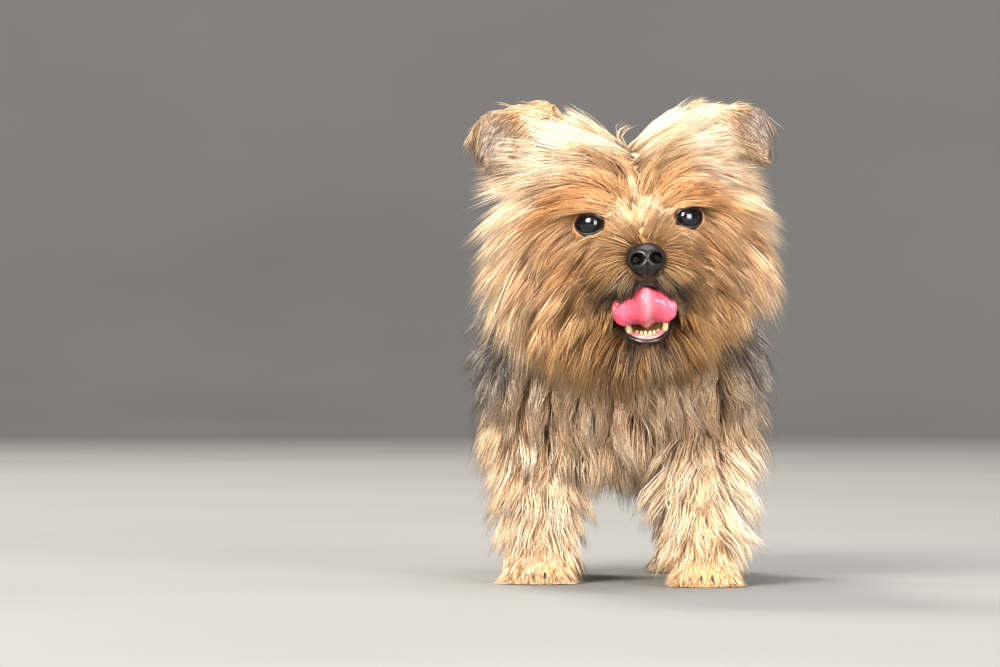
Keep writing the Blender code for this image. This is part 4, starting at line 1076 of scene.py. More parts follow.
@dataclass(frozen=True)
class WetFinish:
    """A moist tissue: two colours by noise, with fine bumps and a wet coat.

    Attributes:
        grain: The scale of the bumps per metre; the colours' patches are six times as wide.
        relief: The strength of the bumps.
        wet: How strong the wet coat is.
    """

    name: str
    deep: tuple
    light: tuple
    roughness: float = 0.3
    grain: float = 900.0
    relief: float = 0.3
    wet: float = 0.5

    def build(self) -> bpy.types.Material:
        """Makes the material.

        Returns:
            The material.
        """
        graph = Graph(self.name)
        graph.colour(graph.ramp(graph.noise(self.grain / 6, 4.0), ((0.3, self.deep), (0.7, self.light))))
        graph.bump(graph.noise(self.grain, 3.0), self.relief, 0.0004)
        graph.set(Roughness=self.roughness, Coat_Weight=self.wet, Coat_Roughness=0.12)
        return graph.material


@dataclass(frozen=True)
class Skin:
    """The one skin of the whole dog, with the mouth's room cut in and both ears grown on."""

    flesh: Flesh
    markings: Markings
    voxel: float = 2.0
    ball_spacing: float = 0.35
    ball_swell: float = 0.6
    settling: int = 5
    settling_share: float = 0.8
    ear_rings: int = 34
    ear_columns: int = 17
    lining_depth: float = -0.8
    lining_bounds: tuple = (40.0, -8.0)

    def _body(self) -> bpy.types.Object:
        """The skin of the masses, before the mouth and the ears.

        Returns:
            The object.
        """
        built = bmesh.new()
        for mass in self.flesh.masses:
            span = np.linalg.norm(np.array(mass.end) - np.array(mass.start))
            steps = max(2, int(span / (self.ball_spacing * min(mass.r_start, mass.r_end))) + 1)
            for share in np.linspace(0, 1, steps):
                radius = mass.r_start + (mass.r_end - mass.r_start) * share + self.ball_swell
                size = Matrix.Diagonal((radius * mass.wide, radius, radius * mass.tall, 1))
                place = Matrix.Translation(Vector(mass.start).lerp(Vector(mass.end), share))
                bmesh.ops.create_icosphere(built, subdivisions=3, radius=1.0, matrix=place @ size)
        body = from_bmesh("skin", built)
        remesh = body.modifiers.new("skin", "REMESH")
        remesh.mode = "VOXEL"
        remesh.voxel_size = self.voxel * MM
        evaluated(body)
        points = FRAME.dog(points_of(body.data))
        for _ in range(self.settling):
            apart, out = self.flesh.sampled(points)
            points -= self.settling_share * apart[:, None] * out
        points -= self.flesh.distance(points)[:, None] * self.flesh.normals(points)
        points[:, 2] = np.maximum(points[:, 2], 0.0)
        body.data.vertices.foreach_set("co", FRAME.metres(points).ravel())
        body.data.update()
        return body

    def _line_mouth(self, mesh: bpy.types.Mesh) -> None:
        """Gives the faces inside the mouth's room the lining.

        Args:
            mesh: The skin's mesh.
        """
        middles = np.empty(len(mesh.polygons) * 3)
        mesh.polygons.foreach_get("center", middles)
        middles = FRAME.dog(middles.reshape(-1, 3))
        own = HEAD.to_head(middles)
        half_wide, back = self.lining_bounds
        inside = (own[:, 1] < back) & (np.abs(own[:, 0]) < half_wide) & on_head(middles)
        inside &= self.flesh.distance(middles) < self.lining_depth
        mesh.polygons.foreach_set("material_index", inside.astype(np.int32))

    def build(self) -> bpy.types.Object:
        """Makes the skin.

        Returns:
            The piece.
        """
        skin = self._body()
        for side in SIDES:
            flap = swept(ear_rings(side, self.ear_rings, self.ear_columns))
            boolean(skin, "UNION", from_bmesh(f"ear_{side}", flap))
        boolean(skin, "DIFFERENCE", from_bmesh("mouth_room", swept(mouth_rings())))
        for side in SIDES:
            boolean(skin, "DIFFERENCE", from_bmesh("socket", swept(Eye(side).socket_rings())))
        # Painted shade: the lining's red is kept far darker than the gums', as shade inside the mouth
        lining = WetFinish("mouth_lining_painted_shade", (0.05, 0.008, 0.008), (0.16, 0.035, 0.035))
        skin.data.materials.clear()
        for finish in (HairFinish().skin(), lining.build()):
            skin.data.materials.append(finish)
        self._line_mouth(skin.data)
        smooth_faces(skin.data)
        self.markings.write(skin.data, FRAME.dog(points_of(skin.data)))
        return publish(skin, skin.data.materials[0], FLESH_NODES)


def ear_surface(side: int, along: np.ndarray, share: np.ndarray, face: np.ndarray) -> np.ndarray:
    """Points on an ear's flap.

    Args:
        side: 1 for the left ear, -1 for the right.
        along: From 0 at the ear's root to 1 at its tip.
        share: From -1 to 1 across its breadth.
        face: 1 for the outer face, -1 for the inner.

    Returns:
        Points in the dog's frame.
    """
    rows = np.array([[*m, *b, h, c] for m, b, h, c in EAR_STATIONS])
    table = resampled(rows, 200)
    places = np.linspace(0, 1, 200)
    own = np.stack([np.interp(along, places, table[:, i]) for i in range(8)], axis=1)
    ahead = np.gradient(table[:, :3], axis=0)
    ahead = unit(np.stack([np.interp(along, places, ahead[:, i]) for i in range(3)], axis=1))
    across = own[:, 3:6]
    across = unit(across - ahead * (across * ahead).sum(axis=1)[:, None])
    out = np.cross(ahead, across)
    half, cup = np.maximum(own[:, 6], 1.0), own[:, 7]
    bowl = cup * (1 - share**2) - cup / 2
    thick = face * EAR_THICKNESS / 2 * np.sqrt(np.maximum(0.0, 1 - share**4) + 0.02)
    points = own[:, :3] + across * (share * half)[:, None] + out * (bowl + thick)[:, None]
    raised = np.minimum(1.0, along * (len(EAR_STATIONS) - 1) / 2)
    points += np.array(EAR_RAISED[side]) * raised[:, None]
    points[:, 0] *= side
    return HEAD.to_dog(points)


def ear_rings(side: int, rings: int, columns: int) -> np.ndarray:
    """Rings of points round an ear's flap.

    Args:
        side: 1 for the left ear, -1 for the right.
        rings: How many rings.
        columns: How many points across each face.

    Returns:
        The rings in the dog's frame.
    """
    across = np.linspace(-1, 1, columns)
    share = np.concatenate([across, -across])
    face = np.concatenate([np.ones(columns), -np.ones(columns)])
    return np.array([
        ear_surface(side, np.full(len(share), along), share, face) for along in np.linspace(0, 1, rings)
    ])


def mouth_rings(sides: int = 40) -> np.ndarray:
    """Rings of points round the open mouth's room.

    Args:
        sides: How many points in a ring.

    Returns:
        The rings in the dog's frame.
    """
    table = resampled(np.array(MOUTH_ROOM, float), 16)
    angles = angles_round(sides)
    rings = [
        np.stack([wide * np.cos(angles), np.full(sides, y), z + tall * np.sin(angles)], axis=1)
        for y, z, wide, tall in table
    ]
    return HEAD.to_dog(np.array(rings))


@dataclass(frozen=True)
class CoatRegion:
    """One region of the coat: how many strands it has and how they are shaped.

    Attributes:
        name: The name of its pieces.
        slot: The record's slot; not used.
        strands: How many strands.
        rings: Rings of a strand before its tip.
        width: Breadth of a strand in mm.
        tuft: Distance between the middles of tufts in mm.
        pull: How far a strand's tip is drawn to its tuft's.
        wave: How far strands wave to the side, in mm.
        fray: How far each strand strays, as a share of its length.
        swing: How far whole tufts stray, in the same way.
        holds: Tells which points of the skin it holds, from their places in the dog's frame and in the
            head's own, and from whether they are on the head.
    """

    name: str
    slot: Slot
    strands: int
    rings: int
    width: float
    tuft: float
    pull: float
    wave: float
    fray: float
    swing: float
    holds: Callable[[np.ndarray, np.ndarray, np.ndarray], np.ndarray]


def is_face(dog: np.ndarray, own: np.ndarray, head: np.ndarray) -> np.ndarray:
    """The muzzle, the stop and round the eyes."""
    x, y, z = np.abs(own[:, 0]), own[:, 1], own[:, 2]
    near_eye = (np.abs(x - 26) < 12) & (y < -26) & (z < 9) & (z > -22)
    muzzle = (y < -40) & (z > -44) & (z < 8)
    return head & (near_eye | muzzle)


def is_jaw(dog: np.ndarray, own: np.ndarray, head: np.ndarray) -> np.ndarray:
    """The lower jaw and chin."""
    return head & (own[:, 2] < JAW_TOP)


def is_crown(dog: np.ndarray, own: np.ndarray, head: np.ndarray) -> np.ndarray:
    """The forehead and the top of the head."""
    return head & (own[:, 2] > CROWN_EDGE) & ~is_face(dog, own, head)


def is_cheek(dog: np.ndarray, own: np.ndarray, head: np.ndarray) -> np.ndarray:
    """The sides and the back of the head."""
    return head & ~is_face(dog, own, head) & ~is_jaw(dog, own, head) & ~is_crown(dog, own, head)


def is_tail(dog: np.ndarray, own: np.ndarray, head: np.ndarray) -> np.ndarray:
    """The tail."""
    return ~head & ((dog[:, 1] - 137) * 0.7 + (dog[:, 2] - 190) * 0.7 > 0)


def is_paw(dog: np.ndarray, own: np.ndarray, head: np.ndarray) -> np.ndarray:
    """The feet."""
    return ~head & (dog[:, 2] < FOOT_TOP)


def is_leg(dog: np.ndarray, own: np.ndarray, head: np.ndarray) -> np.ndarray:
    """The legs above the feet."""
    return ~head & (dog[:, 2] >= FOOT_TOP) & (dog[:, 2] < LEG_TOP)


def is_chest(dog: np.ndarray, own: np.ndarray, head: np.ndarray) -> np.ndarray:
    """The front of the neck and chest."""
    return ~head & ~is_tail(dog, own, head) & (dog[:, 2] >= LEG_TOP) & (dog[:, 1] < CHEST_BACK)


def is_trunk(dog: np.ndarray, own: np.ndarray, head: np.ndarray) -> np.ndarray:
    """The back, the flanks and the rump."""
    return ~head & ~is_tail(dog, own, head) & (dog[:, 2] >= LEG_TOP) & (dog[:, 1] >= CHEST_BACK)


REGIONS = (
    CoatRegion("crown_hair", Slot.GOLDEN, 11200, 4, 0.48, 5.0, 0.5, 0.7, 0.045, 0.08, is_crown),
    CoatRegion("cheek_hair", Slot.GOLDEN, 15500, 4, 0.54, 5.5, 0.52, 0.9, 0.04, 0.08, is_cheek),
    CoatRegion("face_hair", Slot.GOLDEN, 9600, 3, 0.42, 3.6, 0.45, 0.4, 0.07, 0.09, is_face),
    CoatRegion("jaw_hair", Slot.GOLDEN, 3600, 3, 0.48, 4.5, 0.55, 0.6, 0.07, 0.09, is_jaw),
    CoatRegion("chest_hair", Slot.PALE, 10600, 3, 0.6, 8.0, 0.75, 3.4, 0.07, 0.14, is_chest),
    CoatRegion("trunk_hair", Slot.STEEL, 11000, 3, 0.72, 8.5, 0.7, 1.8, 0.07, 0.08, is_trunk),
    CoatRegion("leg_hair", Slot.PALE, 10000, 3, 0.56, 7.0, 0.72, 2.6, 0.07, 0.11, is_leg),
    CoatRegion("paw_hair", Slot.PALE, 4200, 2, 0.55, 4.0, 0.5, 0.3, 0.08, 0.08, is_paw),
    CoatRegion("tail_hair", Slot.STEEL, 1600, 3, 0.66, 6.0, 0.6, 1.0, 0.08, 0.1, is_tail),
)


def unwrapped(points: np.ndarray, own: np.ndarray, head: np.ndarray) -> np.ndarray:
    """An unwrap of the skin's own shape: round the skull, along the trunk and round each leg.

    Args:
        points: Points of the skin in the dog's frame.
        own: The same points in the head's frame.
        head: True on the head.

    Returns:
        Two numbers from 0 to 1 a point.
    """
    def turns(sideways: np.ndarray, ahead: np.ndarray) -> np.ndarray:
        """The angle of points round an axis, as a share of a whole turn."""
        return np.arctan2(sideways, ahead) / (2 * math.pi) + 0.5

    reach = np.linalg.norm(own, axis=1)
    down_skull = np.arccos(np.clip(own[:, 2] / np.maximum(reach, 1e-6), -1, 1)) / math.pi
    skull = np.stack([turns(own[:, 0], -own[:, 1]), down_skull], axis=1)
    trunk = np.stack([turns(points[:, 0], points[:, 2] - 130), (points[:, 1] + 125) / 300], axis=1)
    left, hind = points[:, 0] > 0, points[:, 1] > 15
    middle_x = np.where(left, 44.0, -44.0)
    middle_y = np.select([hind, left], [96.0, -74.0], -44.0)
    round_leg = turns(points[:, 0] - middle_x, points[:, 1] - middle_y)
    legs = np.stack([(left + 2.0 * hind + round_leg) / 4, points[:, 2] / LEG_TOP], axis=1)
    body = np.where((points[:, 2] < LEG_TOP)[:, None], legs, trunk)
    made = np.where(head[:, None], skull, body)
    return np.clip(made, 0, 1) * 0.98 + 0.01


def bent_lines(
    roots: np.ndarray, starts: np.ndarray, ends: np.ndarray, reach: np.ndarray, stations: int
) -> np.ndarray:
    """Lines that leave their roots one way and bend towards another.

    Args:
        roots: Where they begin.
        starts: Their directions at the roots.
        ends: Their directions at the tips.
        reach: Their lengths.
        stations: How many points each line has.

    Returns:
        Lines by stations by three.
    """
    shares = np.linspace(0, 1, stations)[None, :, None]
    bend = shares**2 / 2
    return roots[:, None] + reach[:, None, None] * ((shares - bend) * starts[:, None] + bend * ends[:, None])


def within(x: np.ndarray, z: np.ndarray, halves: tuple) -> np.ndarray:
    """Tells which points lie within an oval round 0, from its two half sizes."""
    return (x / halves[0]) ** 2 + (z / halves[1]) ** 2 < 1


class StrandMesh:
    """Closed strands of three sides, each drawn out to a point, joined in one mesh."""

    sides = 3
    thickness = 0.6
    patch = 0.003

    def __init__(self, centres: np.ndarray, outs: np.ndarray, widths: np.ndarray) -> None:
        """Places the vertices.

        Args:
            centres: Strands by stations by three, the last station being the tip.
            outs: One direction a strand that its ridge turns to.
            widths: The breadth of each strand at each station but the tip.
        """
        count, stations = centres.shape[:2]
        self.count, self.rings = count, stations - 1
        tangent = unit(np.gradient(centres, axis=1))
        ridge = outs[:, None] - tangent * (outs[:, None] * tangent).sum(axis=2, keepdims=True)
        ridge = unit(ridge + 1e-4)
        across = np.cross(tangent, ridge)
        angles = 2 * math.pi * np.arange(self.sides) / self.sides + math.pi / 2
        spread = np.cos(angles)[:, None] * across[:, :-1, None]
        spread = spread + self.thickness * np.sin(angles)[:, None] * ridge[:, :-1, None]
        rings = centres[:, :-1, None] + 0.5 * widths[:, :, None, None] * spread
        rings = rings.reshape(count, -1, 3)
        self.points = np.concatenate([rings, centres[:, -1:]], axis=1)
        self.each = self.points.shape[1]

    def _pattern(self) -> tuple[np.ndarray, np.ndarray]:
        """The triangles of one strand.

        Returns:
            Vertex numbers and places on the strand's patch, for each corner.
        """
        faces, places = [], []
        last = self.rings - 1
        for ring in range(self.rings):
            low, high = ring / self.rings, (ring + 1) / self.rings
            for k in range(self.sides):
                a, b = ring * self.sides + k, ring * self.sides + (k + 1) % self.sides
                if ring < last:
                    faces += [(a, b, b + self.sides), (a, b + self.sides, a + self.sides)]
                    places += [((k, low), (k + 1, low), (k + 1, high)), ((k, low), (k + 1, high), (k, high))]
                else:
                    faces.append((a, b, self.rings * self.sides))
                    places.append(((k, low), (k + 1, low), (k + 0.5, 1.0)))
        faces.append((2, 1, 0))
        places.append(((2, 0.0), (1, 0.0), (0, 0.0)))
        return np.array(faces), np.array(places, float)

    @classmethod
    def triangles_each(cls, rings: int) -> int:
        """How many triangles a strand of so many rings has."""
        return 2 * cls.sides * (rings - 1) + cls.sides + 1

    def build(self, name: str, unwrap: np.ndarray) -> bpy.types.Mesh:
        """Makes the mesh, with each strand's patch on the bake map.

        Args:
            name: The mesh's name.
            unwrap: Where each strand's root lies on the skin's unwrap.

        Returns:
            The mesh.
        """
        faces, places = self._pattern()
        mesh = bpy.data.meshes.new(name)
        total = self.count * len(faces)
        starts = (np.arange(self.count) * self.each)[:, None, None]
        corners = (faces[None] + starts).ravel()
        mesh.vertices.add(self.count * self.each)
        mesh.vertices.foreach_set("co", FRAME.metres(self.points.reshape(-1, 3)).astype(np.float32).ravel())
        mesh.loops.add(total * 3)
        mesh.loops.foreach_set("vertex_index", corners.astype(np.int32))
        mesh.polygons.add(total)
        mesh.polygons.foreach_set("loop_start", np.arange(0, total * 3, 3, dtype=np.int32))
        mesh.update(calc_edges=True)
        smooth_faces(mesh)
        local = (places - np.array([self.sides / 2, 0.5])) * np.array([self.patch / self.sides, self.patch])
        flat = unwrap[:, None, None] + local[None]
        layer = mesh.uv_layers.new(name=BAKE_MAP)
        layer.data.foreach_set("uv", flat.astype(np.float32).ravel())
        mesh.validate()
        return mesh

    def along(self) -> np.ndarray:
        """How far along its strand each vertex is, from 0 at the root to 1 at the tip."""
        one = np.concatenate([np.repeat(np.arange(self.rings) / self.rings, self.sides), [1.0]])
        return np.tile(one, self.count)


@dataclass
class Hair:
    """The whole coat, grown region by region on the skin's faces."""

    flesh: Flesh
    markings: Markings
    skin: bpy.types.Object
    coat: Coat = Coat()
    root_reach: float = 0.7
    root_depth: float = 0.6
    margins: tuple = (0.2, 1.4)
    above_floor: float = 0.8
    parting_sway: float = 2.6
    parting_limit: float = 4.5
    tuft_lengths: tuple = (0.9, 1.06)
    lengths: tuple = (0.8, 1.03)
    breadths: tuple = (0.7, 1.25)
    pulls: tuple = (0.7, 1.15)
    tip_stray: float = 1.4
    tip_pull: float = 1.3
    wave_length: float = 30.0
    least_wave: float = 12.0
    phase_spread: float = 0.5
    push_limit: float = 12.0
    taper: tuple = ((0, 0.35, 0.7, 1.0), (0.7, 1.0, 0.85, 0.3))
    tone_middle: float = 0.52
    tone_spread: float = 0.23
    tuft_tone_spread: float = 0.12
    eye_clear: tuple = (8.3, 6.0)
    nose_clear: float = 10.8
    nose_front: tuple = (10.5, 8.8, -60.0)
    mouth_clear: tuple = (18.5, 13.8, -30.0)
    mouth_height: float = -61.0
    batch: int = 4000

    def __post_init__(self) -> None:
        """Finds the skin's outer triangles, and starts the draws and the finish."""
        self.chance = np.random.default_rng(SEED)
        self.finish = HairFinish().hair()
        mesh = self.skin.data
        mesh.calc_loop_triangles()
        corners = np.empty(len(mesh.loop_triangles) * 3, np.int32)
        mesh.loop_triangles.foreach_get("vertices", corners)
        self.corners = FRAME.dog(points_of(mesh))[corners.reshape(-1, 3)]
        middle = self.corners.mean(axis=1)
        outer = np.abs(self.flesh.distance(middle)) < self.root_reach
        self.corners = self.corners[outer]
        self.middle = middle[outer]
        cross = np.cross(self.corners[:, 1] - self.corners[:, 0], self.corners[:, 2] - self.corners[:, 0])
        self.area = np.linalg.norm(cross, axis=1) / 2

    def _roots(self, region: CoatRegion, count: int) -> np.ndarray:
        """Points spread by chance over a region's skin.

        Args:
            region: The region.
            count: How many.

        Returns:
            The points.
        """
        own = HEAD.to_head(self.middle)
        inside = region.holds(self.middle, own, on_head(self.middle))
        area = self.area * inside
        picked = self.chance.choice(len(area), count, p=area / area.sum())
        a, b = np.sqrt(self.chance.random(count)), self.chance.random(count)
        shares = np.stack([1 - a, a * (1 - b), a * b], axis=1)
        return np.einsum("nk,nkc->nc", shares, self.corners[picked])

    def _tufts(self, roots: np.ndarray, spacing: float) -> np.ndarray:
        """The root at the middle of each strand's tuft.

        Args:
            roots: The strands' roots.
            spacing: The distance between tufts.

        Returns:
            For each strand, the number of the root that leads its tuft.
        """
        cells: dict[tuple, list[int]] = {}
        keys = np.floor(roots / spacing).astype(int)
        leaders: list[int] = []
        for i, key in enumerate(map(tuple, keys)):
            around = product(*((place - 1, place, place + 1) for place in key))
            near = [other for cell in around for other in cells.get(cell, ())]
            if near and (((roots[near] - roots[i]) ** 2).sum(axis=1) < spacing**2).any():
                continue
            cells.setdefault(key, []).append(i)
            leaders.append(i)
        leads = np.array(leaders)
        own = np.empty(len(roots), int)
        for start in range(0, len(roots), self.batch):
            rows = slice(start, start + self.batch)
            apart = ((roots[rows, None] - roots[leads][None]) ** 2).sum(axis=2)
            own[rows] = leads[apart.argmin(axis=1)]
        return own

    def _lines(self, roots: np.ndarray, leads: np.ndarray, region: CoatRegion) -> np.ndarray:
        """The middle line of each strand, gathered into its tuft and kept out of the skin.

        Args:
            roots: The strands' roots.
            leads: The leader of each strand's tuft.
            region: The region.

        Returns:
            Strands by stations by three.
        """
        count = len(roots)
        _, normals = self.flesh.sampled(roots)
        unique, index = np.unique(leads, return_inverse=True)
        sway = self.chance.normal(0, self.parting_sway, len(unique))
        sway = np.clip(sway, -self.parting_limit, self.parting_limit)[index]
        sway += roots[leads, 0] - roots[:, 0]
        launch, hang, length = self.coat.at(roots, normals, sway)
        tuft_swing = self.chance.normal(0, region.swing, (len(unique), 3))
        tuft_long = self.chance.uniform(*self.tuft_lengths, len(unique))
        long = length * tuft_long[index] * self.chance.uniform(*self.lengths, count)
        stray = self.chance.normal(0, region.fray, (count, 3))
        launch = unit(launch + tuft_swing[index] + stray)
        hang = unit(hang + tuft_swing[index] + self.tip_stray * stray)
        stations = region.rings + 1
        shares = np.linspace(0, 1, stations)[None, :, None]
        own = bent_lines(roots, launch, hang, long, stations)
        middle = bent_lines(roots[leads], launch[leads], hang[leads], long, stations)
        drawn = region.pull * shares**self.tip_pull * self.chance.uniform(*self.pulls, count)[:, None, None]
        lines = own + drawn * (middle - own)
        aside = unit(np.cross(hang, normals))
        phase = self.chance.uniform(0, 2 * math.pi, len(unique))[index]
        phase += self.chance.normal(0, self.phase_spread, count)
        turns = np.maximum(long, self.least_wave)[:, None, None] / self.wave_length * shares * 2 * math.pi
        ripple = region.wave * shares * np.sin(turns + phase[:, None, None])
        lines = lines + ripple * aside[:, None]
        margin = (self.margins[0] + self.margins[1] * shares)[:, :, 0]
        for _ in range(2):
            flat = lines[:, 1:].reshape(-1, 3)
            apart, out = self.flesh.sampled(flat)
            need = np.repeat(margin[:, 1:], count, axis=0).ravel() - apart
            flat = flat + np.clip(need, 0, self.push_limit)[:, None] * out
            lines[:, 1:] = flat.reshape(count, -1, 3)
        lines[:, 1:, 2] = np.maximum(lines[:, 1:, 2], self.above_floor)
        lines[:, 0] -= self.root_depth * normals
        return lines

    def _clear(self, lines: np.ndarray) -> np.ndarray:
        """Which strands leave the eyes, the nose and the mouth open to view.

        Args:
            lines: The strands' middle lines.

        Returns:
            True where a strand stays.
        """
        fine = np.concatenate([lines[:, 1:], (lines[:, 1:] + lines[:, :-1]) / 2], axis=1)
        own = HEAD.to_head(fine)
        x, y, z = np.abs(own[..., 0]), own[..., 1], own[..., 2]
        turn = math.radians(EYE_TURN_DEG)
        dx, dy, dz = x - EYE_PLACE[0], y - EYE_PLACE[1], z - EYE_PLACE[2]
        across = dx * math.cos(turn) + dy * math.sin(turn)
        ahead = dy * math.cos(turn) - dx * math.sin(turn)
        eye = within(across, dz, self.eye_clear) & (ahead < 0)
        from_nose = np.stack([x, y - NOSE_PLACE[1], z - NOSE_PLACE[2]], axis=-1)
        nose = np.linalg.norm(from_nose, axis=-1) < self.nose_clear
        before_nose = within(x, z - NOSE_PLACE[2], self.nose_front) & (y < self.nose_front[2])
        mouth = within(x, z - self.mouth_height, self.mouth_clear) & (y < self.mouth_clear[2])
        return ~(eye | nose | before_nose | mouth).any(axis=1)

    def grow(self, region: CoatRegion) -> None:
        """Makes one region's hair, in as many pieces as it needs.

        Args:
            region: The region.
        """
        wanted = int(region.strands * (1.0))
        roots = self._roots(region, wanted)
        leads = self._tufts(roots, region.tuft)
        lines = self._lines(roots, leads, region)
        keep = self._clear(lines)
        roots, leads, lines = roots[keep], leads[keep], lines[keep]
        _, outs = self.flesh.sampled(roots)
        self.make(region.name, region.width, roots, leads, lines, outs)

    def make(
        self,
        name: str,
        width: float,
        roots: np.ndarray,
        leads: np.ndarray,
        lines: np.ndarray,
        outs: np.ndarray,
    ) -> None:
        """Builds strands from their lines, in as many pieces as they need.

        Args:
            name: The name of the pieces.
            width: The usual breadth of a strand in mm.
            roots: The strands' roots.
            leads: The leader of each strand's tuft.
            lines: The strands' middle lines.
            outs: The way out of the skin at each root.
        """
        rings = lines.shape[1] - 1
        taper = np.interp(np.linspace(0, 1, rings + 1)[:-1], *self.taper)
        breadth = width * self.chance.uniform(*self.breadths, len(roots))
        widths = breadth[:, None] * taper[None]
        tuft_tone = np.random.default_rng(SEED + 1).normal(0, self.tuft_tone_spread, leads.max() + 1)[leads]
        tone = np.clip(self.chance.normal(self.tone_middle, self.tone_spread, len(roots)) + tuft_tone, 0, 1)
        parts = math.ceil(len(roots) * StrandMesh.triangles_each(rings) / PIECE_LIMIT)
        order = np.argsort(roots[:, 0]) if parts > 1 else np.arange(len(roots))
        for number, rows in enumerate(np.array_split(order, parts)):
            strands = StrandMesh(lines[rows], outs[rows], widths[rows])
            piece = name if parts == 1 else f"{name}_{number + 1}"
            own = HEAD.to_head(roots[rows])
            mesh = strands.build(piece, unwrapped(roots[rows], own, on_head(roots[rows])))
            self.markings.write(mesh, roots[rows], strands.each)
            write_attribute(mesh, "tone", np.repeat(tone[rows], strands.each))
            write_attribute(mesh, "along", strands.along())
            publish(new_object(piece, mesh), self.finish)


@dataclass
class Eye:
    """One eyeball with its iris and clear front, and the lids round it."""

    side: int
    radius: float = EYE_RADIUS
    bulge: float = 0.55
    bulge_edge: tuple = (0.72, 0.9)
    under_lids: float = 1.3
    socket_steps: tuple = ((2.0, 0.7), (3.0, 0.9), (5.0, 1.0), (9.0, 1.0), (14.0, 1.1))
    lid_front: tuple = ((0.15, -0.35), (0.85, -0.1), (1.25, 0.35), (1.2, 1.2))
    lid_back: tuple = ((0.9, 3.0), (-0.6, 5.5), (-2.4, 7.5))
    lid_rings: int = 26

    @property
    def node(self) -> str:
        """The eye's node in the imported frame."""
        return "eye_left" if self.side > 0 else "eye_right"

    def _axes(self) -> np.ndarray:
        """The eye's own axes in the dog's frame, as rows: to its left, back and up."""
        spin = np.array(Matrix.Rotation(math.radians(EYE_TURN_DEG * self.side), 3, "Z"))
        return (HEAD.turn() @ spin).T

    def _middle(self) -> np.ndarray:
        """The middle of the eyeball in the dog's frame."""
        return HEAD.to_dog(np.array(EYE_PLACE) * (self.side, 1, 1))

    def ball(self) -> bpy.types.Object:
        """The eyeball, with the clear front's bulge.

        Returns:
            The piece.
        """
        built, places = sphere(48, 32, self.radius)
        ahead = np.clip(-places[:, 1] / self.radius, -1, 1)
        swell = self.bulge * smooth_step(ahead, *self.bulge_edge)
        places *= (1 + swell / self.radius)[:, None]
        radial = np.hypot(places[:, 0], places[:, 2])
        move_vertices(built, places @ self._axes() + self._middle())
        made = from_bmesh(f"{self.node}_ball", built)
        write_attribute(made.data, "radial", radial / self.radius)
        write_attribute(made.data, "front", ahead)
        return made

    def socket_rings(self, sides: int = 40) -> np.ndarray:
        """Rings of points round the room that the eye takes out of the skin.

        Args:
            sides: How many points in a ring.

        Returns:
            The rings in the dog's frame, from the back of the eyeball to well before it.
        """
        angles = angles_round(sides)
        rings = []
        for depth, share in self.socket_steps:
            x, z = ((half + self.under_lids) * share for half in EYE_OPENING)
            rings.append(np.stack([x * np.cos(angles), np.full(sides, -depth), z * np.sin(angles)], axis=1))
        return np.array(rings) @ self._axes() + self._middle()

    def lids(self) -> bpy.types.Object:
        """The lids, as a soft rim round the opening that sinks into the skin.

        Returns:
            The piece.
        """
        angles = angles_round(64)
        wide, tall = EYE_OPENING
        corner = 1 + 0.12 * np.cos(angles) ** 8
        rings = []
        for lift, out in self.lid_front + self.lid_back:
            x = (wide * corner + out) * np.cos(angles)
            z = (tall + out) * np.sin(angles)
            reach = self.radius + lift
            flat = np.minimum(np.hypot(x, z), reach * 0.98)
            y = -np.sqrt(reach**2 - flat**2)
            rings.append(np.stack([x, y, z], axis=1))
        rings.append(rings[-1] * 0.8)
        rings.append(rings[0] * 0.93)
        world = np.array(rings) @ self._axes() + self._middle()
        table = resampled(world.reshape(len(rings), -1), self.lid_rings).reshape(self.lid_rings, -1, 3)
        built = swept(np.concatenate([table, table[:1]]), caps=False)
        bmesh.ops.remove_doubles(built, verts=built.verts, dist=1e-3)
        return from_bmesh(f"{self.node}_lids", built)

    def build(self) -> None:
        """Makes the eyeball and the lids."""
        publish(self.ball(), self.glass(), [self.node])
        lids = WetFinish("lid_rim", (0.006, 0.005, 0.005), (0.02, 0.014, 0.012), 0.35, 1200.0, 0.3, 0.4)
        publish(self.lids(), lids.build())

    def glass(self) -> bpy.types.Material:
        """The eye's material: a black pupil in a dark brown iris under a clear front, its reflections tinted
        blue as a painted sky.

        Returns:
            The material.
        """
        graph = Graph("eye_surface")
        radial, front = graph.attribute("radial"), graph.attribute("front")
        streak = graph.math("MULTIPLY", graph.noise(1500.0, 4.0), 0.08)
        reach = graph.math("ADD", radial, streak)
        stops = (
            (0.40, (0.0015, 0.0015, 0.0018)),
            (0.46, (0.009, 0.004, 0.0025)),
            (0.62, (0.007, 0.003, 0.002)),
            (0.72, (0.003, 0.002, 0.002)),
            (0.85, (0.02, 0.014, 0.012)),
        )
        ahead = graph.ramp(front, ((0.0, (0, 0, 0)), (0.2, (1, 1, 1))))
        graph.colour(graph.mix(ahead, (0.2, 0.15, 0.13, 1), graph.ramp(reach, stops)))
        graph.set(Roughness=0.17, Coat_Weight=0.45, Coat_Roughness=0.03, Specular_IOR_Level=0.5)
        # Painted reflection: a bluish specular tint colours the lamps' reflections like sky
        graph.shader.inputs["Specular Tint"].default_value = (0.66, 0.82, 1.0, 1.0)
        return graph.material


